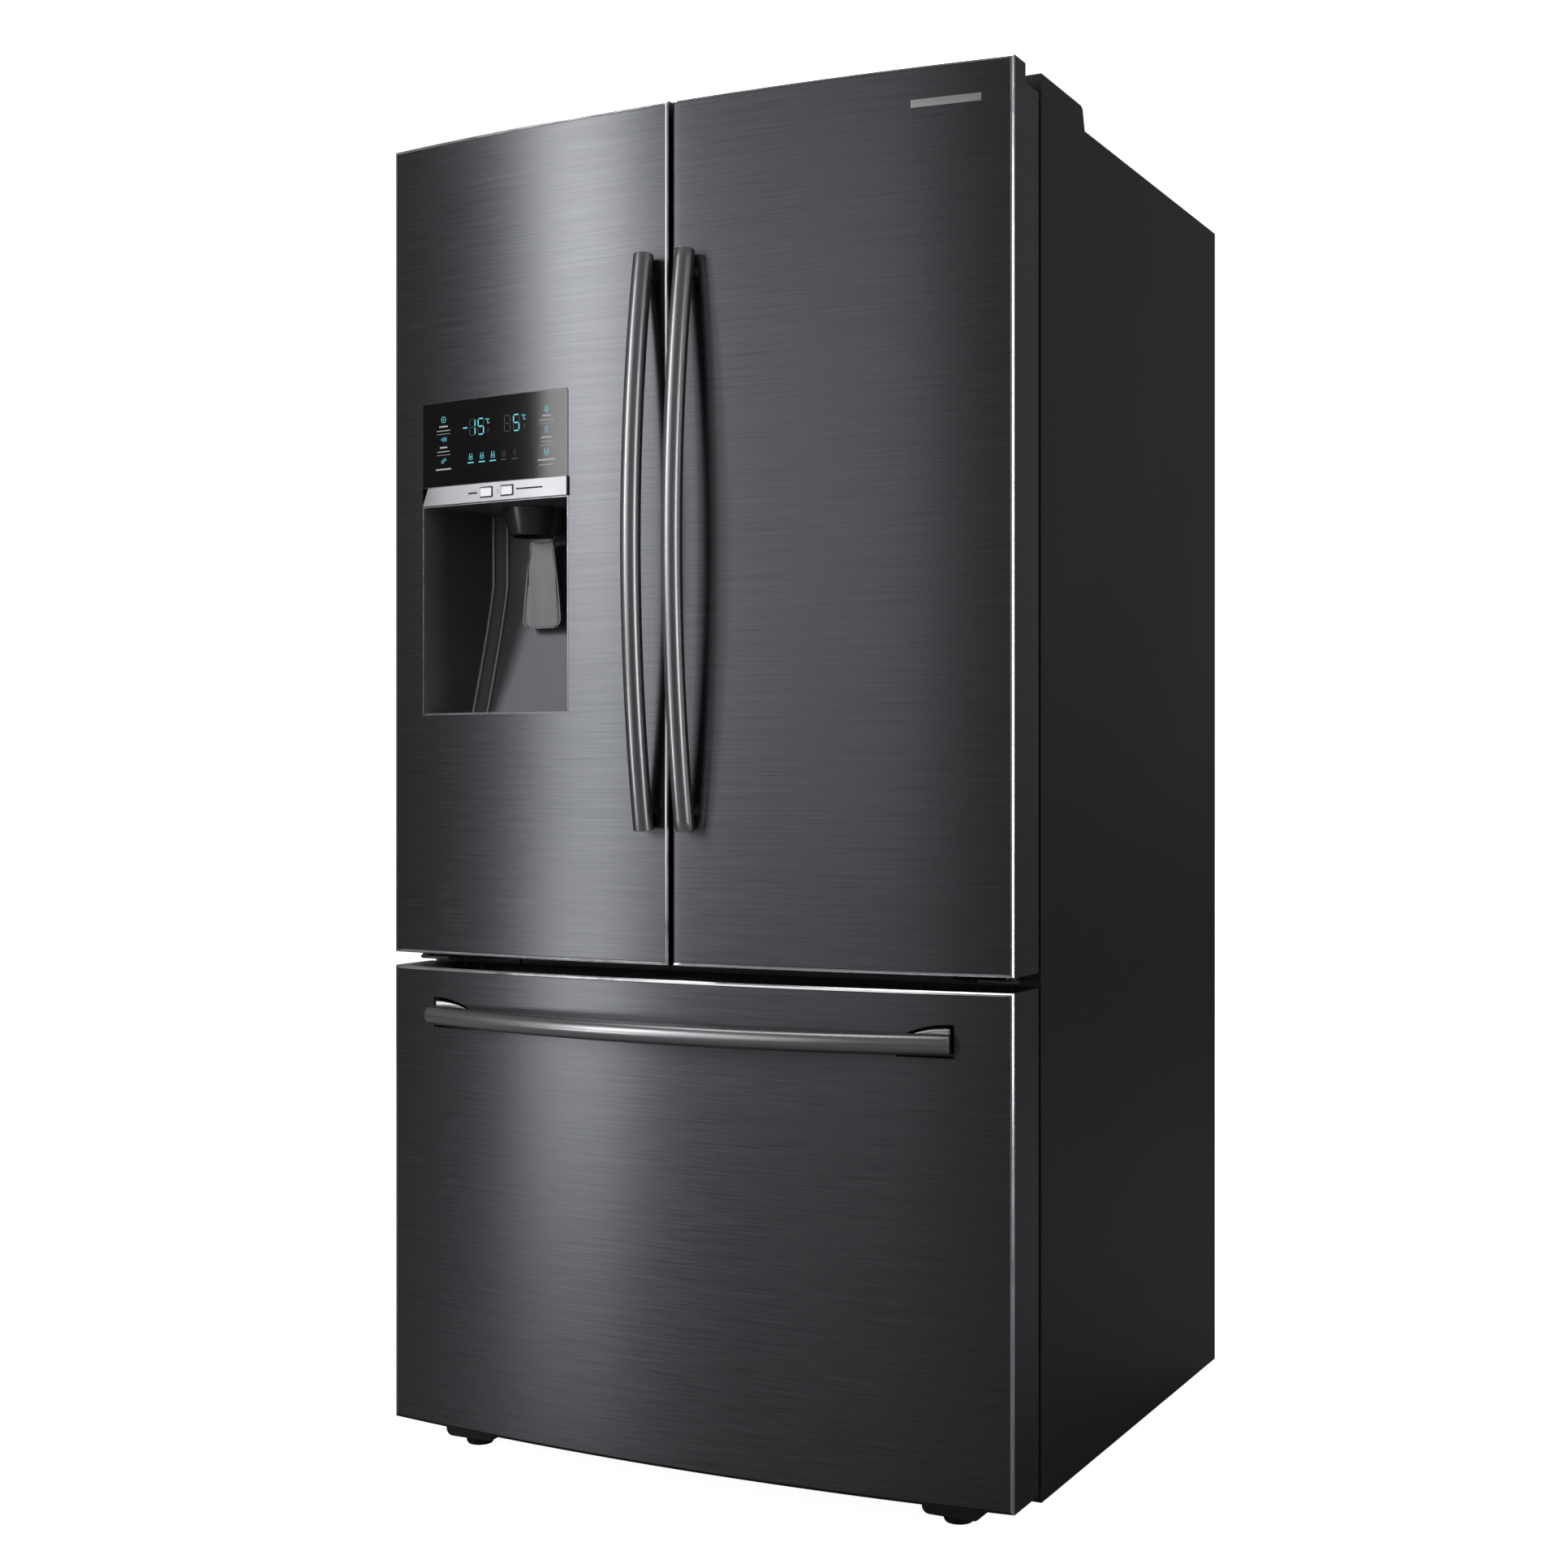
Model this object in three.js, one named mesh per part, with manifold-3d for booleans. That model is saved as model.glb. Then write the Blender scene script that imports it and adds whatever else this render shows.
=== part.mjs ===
// French door refrigerator: two hinged fresh-food doors over a pull-out freezer drawer.
// Millimetres, +Z up, +X to the right seen from the front, the doors face -Y.
import * as THREE from 'three';
import { mergeVertices } from 'three/addons/utils/BufferGeometryUtils.js';
import Module from 'manifold-3d';

const wasm = await Module();
wasm.setup();

// ---- Driving dimensions ----
const WIDTH = 908;
const CASE_DEPTH = 750;
const CASE_TOP = 1749;
const CASE_BOTTOM = 27;
const CASE_SKIN = 2;
const DOOR_TOP = 1774;
const DOOR_BOTTOM = 677;
const DRAWER_TOP = 659;
const DRAWER_BOTTOM = 39;
const DOOR_GAP = 6;
const DOOR_BACK = -10;
const DOOR_THICKNESS = 83;
const BOW = 30;
const DOOR_SKIN = 2;
const EDGE_FILLET = 4;
const SIDE_INSULATION = 47.5;
const LINER_WALL = 2.5;
const BACK_INSULATION = 60;
const FRIDGE_FLOOR = 712;
const FRIDGE_CEILING = 1690;
const FREEZER_FLOOR = 75;
const FREEZER_CEILING = 628;
const MACHINE_DEPTH = 190;
const MACHINE_TOP = 270;
const FIT_GAP = 0.3;
const RUN_GAP = 1;

const GASKET_WIDTH = 22;
const GASKET_THICKNESS = 9;
const DYKE_HEIGHT = 48;
const DYKE_WALL = 22;
const DYKE_CLEARANCE = 5;

const PIN_INSET = 22;
const PIN_FORWARD = 45;
const PIN_RADIUS = 5;
const PIN_LENGTH = 26;
const PIN_CLEARANCE = 0.4;
const NOTCH_DEPTH = 23;
const NOTCH_WIDTH = 130;
const NOTCH_SETBACK = 39;

const HANDLE_DIAMETER = 26;
const DOOR_HANDLE_X = 30;
const DOOR_HANDLE_BOTTOM = 851;
const DOOR_HANDLE_TOP = 1576;
const HANDLE_CLEARANCE = 1.5;
const HANDLE_MID_STANDOFF = 47;
const HANDLE_POST_INSET = 24;
const DRAWER_HANDLE_HALF = 376;
const DRAWER_HANDLE_Z = 593;
const DRAWER_HANDLE_END_STANDOFF = 8;
const POCKET_LENGTH = 74;
const POCKET_HEIGHT = 41;
const POCKET_DEPTH = 20;

const DISPENSER_LEFT = -402;
const DISPENSER_RIGHT = -155;
const DISPENSER_BOTTOM = 999;
const DISPENSER_TOP = 1423;
const BAR_BOTTOM = 1283;
const BAR_TOP = 1308;
const RECESS_BACK = 36;
const RECESS_WALL = 3;
const BUTTON_WIDTH = 19;
const BUTTON_HEIGHT = 12;
const BUTTON_DEPTH = 8;
const BUTTON_PROUD = 1.5;
const BUTTON_ROOM = 2.5;
const BUTTON_GAP = 0.5;
const PADDLE_WIDTH = 66;
const PADDLE_BOTTOM = 1121;
const PADDLE_TOP = 1241;
const CHUTE_TOP_RADIUS = 43;
const CHUTE_FOOT_RADIUS = 31;
const CHUTE_DROP = 38;

const SHELF_THICKNESS = 12;
const SHELF_RIM = 12;
const SHELF_RECESS = 2;
const SHELF_FRONT = 170;
const SHELF_BACK_GAP = 57;
const SHELF_MIDDLE_GAP = 5;
const UPPER_SHELF_Z = 1420;
const LOWER_SHELF_Z = 1150;
const BRACKET_DROP = 40;
const BRACKET_WIDTH = 6;
const BIN_WALL = 3;
const BIN_REACH = 115;
const UPPER_BINS = { z: 1500, height: 110 };
const RIGHT_MIDDLE_BIN = { z: 1210, height: 120 };
const RIGHT_LOWER_BIN = { z: 915, height: 140 };
const LEFT_LOWER_BIN = { z: 885, height: 90 };
const CRISPER_FRONT = 135;
const CRISPER_BACK_GAP = 122;
const CRISPER_HEIGHT = 165;
const BASKET_BACK_GAP = 39;
const BASKET_HEIGHT = 225;
const TRAY_FRONT = 40;
const TRAY_BACK_GAP = 147;
const TRAY_HEIGHT = 110;
const RAIL_HEIGHT = 40;
const RAIL_FRONT = 20;
const RAIL_BACK_GAP = 15;
const RAIL_Z = 300;

const FOOT_X = 357;
const FOOT_Y = -29;
const FOOT_RADIUS = 19;
const FOOT_HEIGHT = 22;
const FOOT_STUD_RADIUS = 5;
const FOOT_BRACKET_HALF = 39;
const ROLLER_RADIUS = 20;
const ROLLER_WIDTH = 24;
const ROLLER_X = 340;
const ROLLER_Y = CASE_DEPTH - 60;
const ROLLER_AXLE_RADIUS = 5;
const ROLLER_AXLE_HALF = 18;
const ROLLER_WELL_X = 20;
const ROLLER_WELL_Y = 30;
const BASE_PAN_HEIGHT = 6;
const COMPRESSOR_RADIUS = 78;
const COMPRESSOR_X = -210;
const FAN_RADIUS = 75;

// ---- Derived places ----
const HALF = WIDTH / 2;
const EDGE_FRONT = DOOR_BACK - DOOR_THICKNESS;
const BOW_RADIUS = (HALF * HALF + BOW * BOW) / (2 * BOW);
const BOW_CENTRE = EDGE_FRONT - BOW + BOW_RADIUS;
const OPENING_HALF = HALF - CASE_SKIN - SIDE_INSULATION;
const INSIDE_HALF = OPENING_HALF - LINER_WALL;
const CAVITY_BACK = CASE_DEPTH - BACK_INSULATION;
const MACHINE_FRONT = CASE_DEPTH - MACHINE_DEPTH;
const PIN_X = HALF - PIN_INSET;
const PIN_Y = DOOR_BACK - PIN_FORWARD + 10;
const NOTCH_FRONT = EDGE_FRONT + NOTCH_SETBACK;
const NOTCH_FLOOR = DOOR_TOP - NOTCH_DEPTH;
const DYKE_OUTER = INSIDE_HALF - DYKE_CLEARANCE;
const FREE_DYKE = 36;
const GAP_MIDDLE = (DOOR_BOTTOM + DRAWER_TOP) / 2;
const INSIDE_BACK = CAVITY_BACK - LINER_WALL;
const STEP_Y = MACHINE_FRONT - 25;
const RAIL_BACK = STEP_Y - RAIL_BACK_GAP;
const WALL_FIT = INSIDE_HALF - FIT_GAP;

// ---- Finishes ----
function finish(color, roughness, metalness) {
  return new THREE.MeshStandardMaterial({ color, roughness, metalness });
}

const DARK_STEEL = [0x4b4d52, 0.35, 0.9];
const CASE_PAINT = [0x232428, 0.5, 0.2];
const BLACK_PLASTIC = [0x141416, 0.45, 0];
const GREY_PLASTIC = [0x8a8c90, 0.5, 0];
const WHITE_PLASTIC = [0xe9ebec, 0.45, 0];
const CLEAR_PLASTIC = [0xcfd8dc, 0.15, 0];
const RUBBER = [0x55565a, 0.8, 0];
const ZINC = [0xa7aaad, 0.4, 0.9];
const FOAM = [0xd9cfa6, 0.9, 0];
const BLACK_GLASS = [0x060708, 0.05, 0];
const SATIN_SILVER = [0xb9bbbe, 0.35, 0.8];
const HANDLE_METAL = [0x5b5a5e, 0.3, 0.95];

// ---- Solids ----
function solid(geometry) {
  const bare = geometry.clone();
  bare.deleteAttribute('normal');
  bare.deleteAttribute('uv');
  const merged = mergeVertices(bare, 1e-4);
  return new wasm.Manifold(new wasm.Mesh({
    numProp: 3,
    vertProperties: new Float32Array(merged.attributes.position.array),
    triVerts: new Uint32Array(merged.index.array),
  }));
}

function box(x0, x1, y0, y1, z0, z1) {
  const geometry = new THREE.BoxGeometry(x1 - x0, y1 - y0, z1 - z0);
  geometry.translate((x0 + x1) / 2, (y0 + y1) / 2, (z0 + z1) / 2);
  return solid(geometry);
}

function outline(points) {
  return Array.isArray(points) ? new THREE.Shape(points.map(([a, b]) => new THREE.Vector2(a, b))) : points;
}

function extrude(shape, depth) {
  return new THREE.ExtrudeGeometry(outline(shape), { depth, bevelEnabled: false, curveSegments: 5 });
}

// A plan outline (x, y) raised from z0 to z1.
function planSolid(shape, z0, z1) {
  const geometry = extrude(shape, z1 - z0);
  geometry.translate(0, 0, z0);
  return solid(geometry);
}

// A side outline (y, z) run from x0 to x1.
function sideSolid(shape, x0, x1) {
  const geometry = extrude(shape, x1 - x0);
  geometry.applyMatrix4(new THREE.Matrix4().makeBasis(
    new THREE.Vector3(0, 1, 0), new THREE.Vector3(0, 0, 1), new THREE.Vector3(1, 0, 0)));
  geometry.translate(x0, 0, 0);
  return solid(geometry);
}

// A front outline (x, z) run from y0 back to y1.
function frontSolid(shape, y0, y1) {
  const geometry = extrude(shape, y1 - y0);
  geometry.applyMatrix4(new THREE.Matrix4().makeBasis(
    new THREE.Vector3(1, 0, 0), new THREE.Vector3(0, 0, 1), new THREE.Vector3(0, -1, 0)));
  geometry.translate(0, y1, 0);
  return solid(geometry);
}

// A round bar along axis 'x', 'y' or 'z', from one coordinate to the other.
function bar(axis, radius, from, to, a, b, sides = 20, endRadius = radius) {
  const geometry = new THREE.CylinderGeometry(endRadius, radius, to - from, sides);
  const middle = (from + to) / 2;
  if (axis === 'x') {
    geometry.rotateZ(-Math.PI / 2);
    geometry.translate(middle, a, b);
  } else if (axis === 'y') {
    geometry.translate(a, middle, b);
  } else {
    geometry.rotateX(Math.PI / 2);
    geometry.translate(a, b, middle);
  }
  return solid(geometry);
}

function lathe(points, sides, x, y, z) {
  const geometry = new THREE.LatheGeometry(points.map(([r, h]) => new THREE.Vector2(r, h)), sides);
  geometry.rotateX(Math.PI / 2);
  geometry.translate(x, y, z);
  return solid(geometry);
}

function join(...solids) {
  return solids.reduce((whole, next) => whole.add(next));
}

function cut(body, ...tools) {
  return tools.reduce((rest, tool) => rest.subtract(tool), body);
}

function mirror(body) {
  return body.mirror([1, 0, 0]);
}

// Rounded rectangle outline.
function roundedRectangle(a0, a1, b0, b1, r) {
  const shape = new THREE.Shape();
  shape.moveTo(a0 + r, b0);
  shape.lineTo(a1 - r, b0);
  shape.absarc(a1 - r, b0 + r, r, -Math.PI / 2, 0);
  shape.lineTo(a1, b1 - r);
  shape.absarc(a1 - r, b1 - r, r, 0, Math.PI / 2);
  shape.lineTo(a0 + r, b1);
  shape.absarc(a0 + r, b1 - r, r, Math.PI / 2, Math.PI);
  shape.lineTo(a0, b0 + r);
  shape.absarc(a0 + r, b0 + r, r, Math.PI, Math.PI * 1.5);
  return shape;
}

// A convex outline, listed anticlockwise, with every side moved out by a distance.
function grow(points, distance) {
  const count = points.length;
  const sides = points.map(([ax, ay], i) => {
    const [bx, by] = points[(i + 1) % count];
    const length = Math.hypot(bx - ax, by - ay);
    const nx = (by - ay) / length;
    const ny = (ax - bx) / length;
    return [nx, ny, nx * ax + ny * ay + distance];
  });
  return sides.map(([nx, ny, reach], i) => {
    const [px, py, before] = sides[(i + count - 1) % count];
    const area = px * ny - py * nx;
    return [(before * ny - reach * py) / area, (px * reach - nx * before) / area];
  });
}

// An open-topped tray: a box with its inside taken out.
function tray(x0, x1, y0, y1, z0, z1, wall) {
  return cut(box(x0, x1, y0, y1, z0, z1), box(x0 + wall, x1 - wall, y0 + wall, y1 - wall, z0 + wall, z1 + 1));
}

const parts = new THREE.Group();

function add(name, body, look) {
  const mesh = body.getMesh();
  const geometry = new THREE.BufferGeometry();
  geometry.setAttribute('position', new THREE.BufferAttribute(mesh.vertProperties, mesh.numProp));
  geometry.setIndex(new THREE.BufferAttribute(mesh.triVerts, 1));
  geometry.computeVertexNormals();
  const part = new THREE.Mesh(geometry, finish(...look));
  part.name = name;
  parts.add(part);
}

// ---- The bowed front that both doors and the drawer share ----
function bowY(x, inset = 0) {
  const radius = BOW_RADIUS - inset;
  return BOW_CENTRE - Math.sqrt(radius * radius - x * x);
}

// Plan outline of a panel from x0 to x1, its front following the bow and its back straight.
function panelPlan(x0, x1, back, inset, fillet, steps = 8) {
  const left = x0 + inset;
  const right = x1 - inset;
  const front = [];
  for (let i = 0; i <= steps; i += 1) {
    const x = left + fillet + (right - left - 2 * fillet) * (i / steps);
    front.push([x, bowY(x, inset)]);
  }
  return [
    [left, back],
    [left, bowY(left, inset) + fillet],
    ...front,
    [right, bowY(right, inset) + fillet],
    [right, back],
  ];
}

// A band that follows the bow, between two distances behind the surface.
function bowBand(x0, x1, outer, inner, z0, z1, steps = 6) {
  const xs = Array.from({ length: steps + 1 }, (_, i) => x0 + (x1 - x0) * (i / steps));
  const front = xs.map((x) => [x, bowY(x, outer)]);
  const back = xs.map((x) => [x, bowY(x, inner)]).reverse();
  return planSolid([...front, ...back], z0, z1);
}

function panelSkin(x0, x1, z0, z1) {
  const inside = DOOR_SKIN;
  return cut(
    planSolid(panelPlan(x0, x1, DOOR_BACK, 0, EDGE_FILLET), z0, z1),
    planSolid(panelPlan(x0, x1, DOOR_BACK + 1, inside, EDGE_FILLET), z0 + inside, z1 - inside));
}

function panelCore(x0, x1, z0, z1) {
  const inside = DOOR_SKIN + FIT_GAP;
  return planSolid(panelPlan(x0, x1, DOOR_BACK, inside, EDGE_FILLET), z0 + inside, z1 - inside);
}

// ---- Cabinet ----
function hollowFor(half, z0, z1, front, back) {
  return box(-half, half, front, back, z0, z1);
}

const FOAM_HALF = HALF - CASE_SKIN - FIT_GAP;
const BASE_Z = CASE_BOTTOM + CASE_SKIN + FIT_GAP;
const ON_PAN = BASE_Z + BASE_PAN_HEIGHT;
const FRIDGE_OPENING = [FRIDGE_FLOOR - LINER_WALL, FRIDGE_CEILING + LINER_WALL];
const FREEZER_OPENING = [FREEZER_FLOOR - LINER_WALL, FREEZER_CEILING + LINER_WALL];
const STEP_Z = MACHINE_TOP + 25;

// The openings in the bottom that the two rear rollers reach through.
function rollerWells(z0, z1) {
  const y0 = ROLLER_Y - ROLLER_WELL_Y;
  const y1 = ROLLER_Y + ROLLER_WELL_Y;
  const well = box(ROLLER_X - ROLLER_WELL_X, ROLLER_X + ROLLER_WELL_X, y0, y1, z0, z1);
  return [well, mirror(well)];
}

function makeOuterCase() {
  const rim = FIT_GAP;
  const inside = HALF - CASE_SKIN;
  const floor = CASE_BOTTOM + CASE_SKIN;
  return cut(
    box(-HALF, HALF, 0, CASE_DEPTH, CASE_BOTTOM, CASE_TOP),
    box(-inside, inside, CASE_SKIN, CASE_DEPTH + 1, floor, CASE_TOP - CASE_SKIN),
    hollowFor(OPENING_HALF + rim, FRIDGE_OPENING[0] - rim, FRIDGE_OPENING[1] + rim, -1, CASE_SKIN + 1),
    hollowFor(OPENING_HALF + rim, FREEZER_OPENING[0] - rim, FREEZER_OPENING[1] + rim, -1, CASE_SKIN + 1),
    ...rollerWells(CASE_BOTTOM - 1, floor + 1));
}

function makeCabinetFoam() {
  const skin = CASE_SKIN + FIT_GAP;
  const back = CASE_DEPTH - CASE_SKIN - 2 * FIT_GAP;
  const spare = FIT_GAP;
  const half = OPENING_HALF + spare;
  const depth = CAVITY_BACK + spare;
  return cut(
    box(-FOAM_HALF, FOAM_HALF, skin, back, CASE_BOTTOM + skin, CASE_TOP - skin),
    hollowFor(half, FRIDGE_OPENING[0] - spare, FRIDGE_OPENING[1] + spare, -1, depth),
    hollowFor(half, STEP_Z - LINER_WALL - spare, FREEZER_OPENING[1] + spare, -1, depth),
    hollowFor(half, FREEZER_OPENING[0] - spare, STEP_Z, -1, STEP_Y + LINER_WALL + spare),
    box(-HALF, HALF, MACHINE_FRONT, CASE_DEPTH, 0, MACHINE_TOP));
}

function makeFridgeLiner() {
  return cut(
    box(-OPENING_HALF, OPENING_HALF, FIT_GAP, CAVITY_BACK, ...FRIDGE_OPENING),
    box(-INSIDE_HALF, INSIDE_HALF, -1, INSIDE_BACK, FRIDGE_FLOOR, FRIDGE_CEILING));
}

function makeFreezerLiner() {
  const outer = join(
    box(-OPENING_HALF, OPENING_HALF, FIT_GAP, CAVITY_BACK, STEP_Z - LINER_WALL, FREEZER_OPENING[1]),
    box(-OPENING_HALF, OPENING_HALF, FIT_GAP, STEP_Y + LINER_WALL, FREEZER_OPENING[0], STEP_Z));
  return cut(
    outer,
    box(-INSIDE_HALF, INSIDE_HALF, -1, INSIDE_BACK, STEP_Z, FREEZER_CEILING),
    box(-INSIDE_HALF, INSIDE_HALF, -1, STEP_Y, FREEZER_FLOOR, STEP_Z + 1));
}

function makeBackPanel() {
  const top = CASE_TOP - CASE_SKIN - FIT_GAP;
  return box(-FOAM_HALF, FOAM_HALF, CASE_DEPTH - CASE_SKIN, CASE_DEPTH, MACHINE_TOP + 1, top);
}

const VENT_ROWS = 5;
const VENT_COLUMNS = [-300, -100, 100, 300];
const VENT_HALF = 70;
const VENT_HEIGHT = 10;
const VENT_BOTTOM = 80;
const VENT_PITCH = 32;

function makeMachineCover() {
  const slots = [];
  for (let row = 0; row < VENT_ROWS; row += 1) {
    const z = VENT_BOTTOM + row * VENT_PITCH;
    for (const x of VENT_COLUMNS) {
      slots.push(box(x - VENT_HALF, x + VENT_HALF, CASE_DEPTH - 10, CASE_DEPTH + 1, z, z + VENT_HEIGHT));
    }
  }
  const panel = box(-FOAM_HALF, FOAM_HALF, CASE_DEPTH - CASE_SKIN, CASE_DEPTH, BASE_Z, MACHINE_TOP);
  return cut(panel, ...slots);
}

const MACHINE_MIDDLE = MACHINE_FRONT + MACHINE_DEPTH / 2;
const COMPRESSOR_PLATE = 9;
const PLATE_HALF = { x: 85, y: 72 };

// A domed steel can welded to its foot plate.
function makeCompressor() {
  const r = COMPRESSOR_RADIUS;
  const shell = lathe([
    [0, 0], [r * 0.8, 0], [r, 18], [r, 100], [r * 0.86, 135], [r * 0.45, 158], [0, 164],
  ], 24, COMPRESSOR_X, MACHINE_MIDDLE, ON_PAN + COMPRESSOR_PLATE - 1);
  const plate = box(COMPRESSOR_X - PLATE_HALF.x, COMPRESSOR_X + PLATE_HALF.x,
    MACHINE_MIDDLE - PLATE_HALF.y, MACHINE_MIDDLE + PLATE_HALF.y, ON_PAN, ON_PAN + COMPRESSOR_PLATE);
  return join(shell, plate);
}

const CONDENSER = { x0: 62, pitch: 24, fins: 10, half: 3, depth: 75, height: 170 };

// Upright fins on a flat core that stands on the base pan.
function makeCondenser() {
  const { x0, pitch, fins, half, depth, height } = CONDENSER;
  const last = x0 + pitch * (fins - 1);
  const core = box(x0 - half + 1, last + half - 1, MACHINE_MIDDLE - 25, MACHINE_MIDDLE + 25, ON_PAN, ON_PAN + 20);
  const blades = Array.from({ length: fins }, (_, i) => {
    const x = x0 + pitch * i;
    return box(x - half, x + half, MACHINE_MIDDLE - depth, MACHINE_MIDDLE + depth, ON_PAN + 10, ON_PAN + height);
  });
  return join(core, ...blades);
}

const FAN_X = -40;
const FAN_Z = 130;
const FAN_HUB = 18;
const FAN_BLADES = 5;
const BLADE_PITCH = 0.6;

function makeFan() {
  const y = MACHINE_MIDDLE;
  const hub = bar('x', FAN_HUB, FAN_X - 12, FAN_X + 12, y, FAN_Z, 16);
  const blades = [];
  for (let i = 0; i < FAN_BLADES; i += 1) {
    const blade = new THREE.BoxGeometry(3, 30, FAN_RADIUS - 12);
    blade.rotateZ(BLADE_PITCH);
    blade.translate(0, 0, FAN_RADIUS / 2 + 4);
    blade.rotateX((i * 2 * Math.PI) / FAN_BLADES);
    blade.translate(FAN_X, y, FAN_Z);
    blades.push(solid(blade));
  }
  return join(hub, ...blades);
}

add('outer_case', makeOuterCase(), CASE_PAINT);
add('cabinet_foam', makeCabinetFoam(), FOAM);
add('fridge_liner', makeFridgeLiner(), WHITE_PLASTIC);
add('freezer_liner', makeFreezerLiner(), WHITE_PLASTIC);
add('back_panel', makeBackPanel(), ZINC);
add('machine_cover', makeMachineCover(), ZINC);
add('base_pan', cut(
  box(-FOAM_HALF, FOAM_HALF, MACHINE_FRONT + 2, CASE_DEPTH - CASE_SKIN - FIT_GAP, BASE_Z, ON_PAN - FIT_GAP),
  ...rollerWells(0, 60)), ZINC);
add('compressor', makeCompressor(), BLACK_PLASTIC);
add('condenser', makeCondenser(), ZINC);
add('condenser_fan', makeFan(), WHITE_PLASTIC);

// ---- Hinges ----
const PLATE = 4;
const ARM_Z = CASE_TOP + 4;

// Plate screwed to the case top, an arm that hooks forward and out, and the pin it carries.
function makeTopHinge() {
  const arm = [
    [PIN_X - 62, 6], [PIN_X - 62, -18], [PIN_X - 14, PIN_Y - 4], [PIN_X - 4, PIN_Y - 7],
    [PIN_X + 5, PIN_Y - 4], [PIN_X + 6, PIN_Y + 4], [PIN_X - 22, 6],
  ];
  return join(
    box(PIN_X - 76, PIN_X + 8, 4, 110, CASE_TOP + FIT_GAP, ARM_Z + PLATE),
    planSolid(arm, ARM_Z, ARM_Z + PLATE),
    bar('z', PIN_RADIUS, NOTCH_FLOOR - PIN_LENGTH, ARM_Z + PLATE, PIN_X, PIN_Y, 16));
}

// Cover over the plate, with a low neck and a round lobe over the pin.
function makeHingeCover() {
  const top = CASE_TOP + 29;
  const front = 1;
  const rear = EDGE_FRONT + 252;
  const wall = 2;
  const profile = [
    [front, CASE_TOP + FIT_GAP], [rear, CASE_TOP + FIT_GAP], [rear - 8, top - 3], [rear - 14, top], [front, top],
  ];
  const neck = [
    [PIN_X - 66, 4], [PIN_X - 66, -21], [PIN_X - 12, PIN_Y - 5.5], [PIN_X - 4, PIN_Y - 7.5],
    [PIN_X + 5, PIN_Y - 5.5], [PIN_X + 7.5, PIN_Y + 5], [PIN_X - 20, 4],
  ];
  const shell = join(
    sideSolid(profile, PIN_X - 82, HALF - 0.5),
    planSolid(neck, ARM_Z + PLATE + FIT_GAP, ARM_Z + PLATE + 10),
    bar('z', 7.5, ARM_Z + PLATE + FIT_GAP, top, PIN_X, PIN_Y, 20));
  const room = box(PIN_X - 80, HALF - 0.5 - wall, front + wall, rear - 18, CASE_TOP, top - wall);
  const mouth = box(PIN_X - 68, PIN_X + 8, -1, front + wall + 1, CASE_TOP, ARM_Z + PLATE + FIT_GAP);
  return cut(shell, room, mouth);
}

// Upright plate on the mullion, an arm in the gap between doors and drawer, and the pin up into the door.
function makeMiddleHinge() {
  const armTop = GAP_MIDDLE + PLATE / 2;
  const arm = [
    [PIN_X - 90, -FIT_GAP], [PIN_X - 90, -18], [PIN_X - 40, PIN_Y - 10], [PIN_X + 2, PIN_Y - 11],
    [PIN_X + 11, PIN_Y - 4], [PIN_X + 11, PIN_Y + 6], [PIN_X - 12, -FIT_GAP],
  ];
  return join(
    box(HALF - 145, HALF - 35, -3.5, -FIT_GAP, GAP_MIDDLE - 13, GAP_MIDDLE + 13),
    planSolid(arm.slice().reverse(), armTop - PLATE, armTop),
    bar('z', 9, armTop - 0.5, DOOR_BOTTOM - 1.5, PIN_X, PIN_Y, 20),
    bar('z', PIN_RADIUS, armTop, DOOR_BOTTOM + PIN_LENGTH, PIN_X, PIN_Y, 16));
}

add('right_top_hinge', makeTopHinge(), ZINC);
add('left_top_hinge', mirror(makeTopHinge()), ZINC);
add('right_hinge_cover', makeHingeCover(), BLACK_PLASTIC);
add('left_hinge_cover', mirror(makeHingeCover()), BLACK_PLASTIC);
add('right_middle_hinge', makeMiddleHinge(), BLACK_PLASTIC);
add('left_middle_hinge', mirror(makeMiddleHinge()), BLACK_PLASTIC);

// ---- Feet and rollers ----
const BRACKET_BOTTOM = 11;

const BRACKET_TOP = DRAWER_BOTTOM - 3;
const BRACKET_REACH = 26;
const TONGUE = { half: 30, front: -5, back: 60, height: 8 };

// Moulded block in front of the case with a tongue under it, bored for the foot and its stud.
function makeFootBracket() {
  const half = FOOT_BRACKET_HALF;
  const face = roundedRectangle(FOOT_X - half, FOOT_X + half, BRACKET_BOTTOM, BRACKET_TOP, 10);
  const body = frontSolid(face, FOOT_Y - BRACKET_REACH, -FIT_GAP);
  const tongue = box(FOOT_X - TONGUE.half, FOOT_X + TONGUE.half, TONGUE.front, TONGUE.back,
    CASE_BOTTOM - TONGUE.height, CASE_BOTTOM - FIT_GAP);
  const socket = bar('z', FOOT_RADIUS + RUN_GAP, 0, FOOT_HEIGHT + 3, FOOT_X, FOOT_Y, 24);
  const thread = bar('z', FOOT_STUD_RADIUS + RUN_GAP, 20, DRAWER_BOTTOM, FOOT_X, FOOT_Y, 16);
  return cut(join(body, tongue), socket, thread);
}

function makeFoot() {
  return join(
    bar('z', FOOT_RADIUS - 2, 0, 4, FOOT_X, FOOT_Y, 24, FOOT_RADIUS),
    bar('z', FOOT_RADIUS, 4, FOOT_HEIGHT, FOOT_X, FOOT_Y, 24),
    bar('z', FOOT_STUD_RADIUS, FOOT_HEIGHT, DRAWER_BOTTOM - 4, FOOT_X, FOOT_Y, 16));
}

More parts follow.
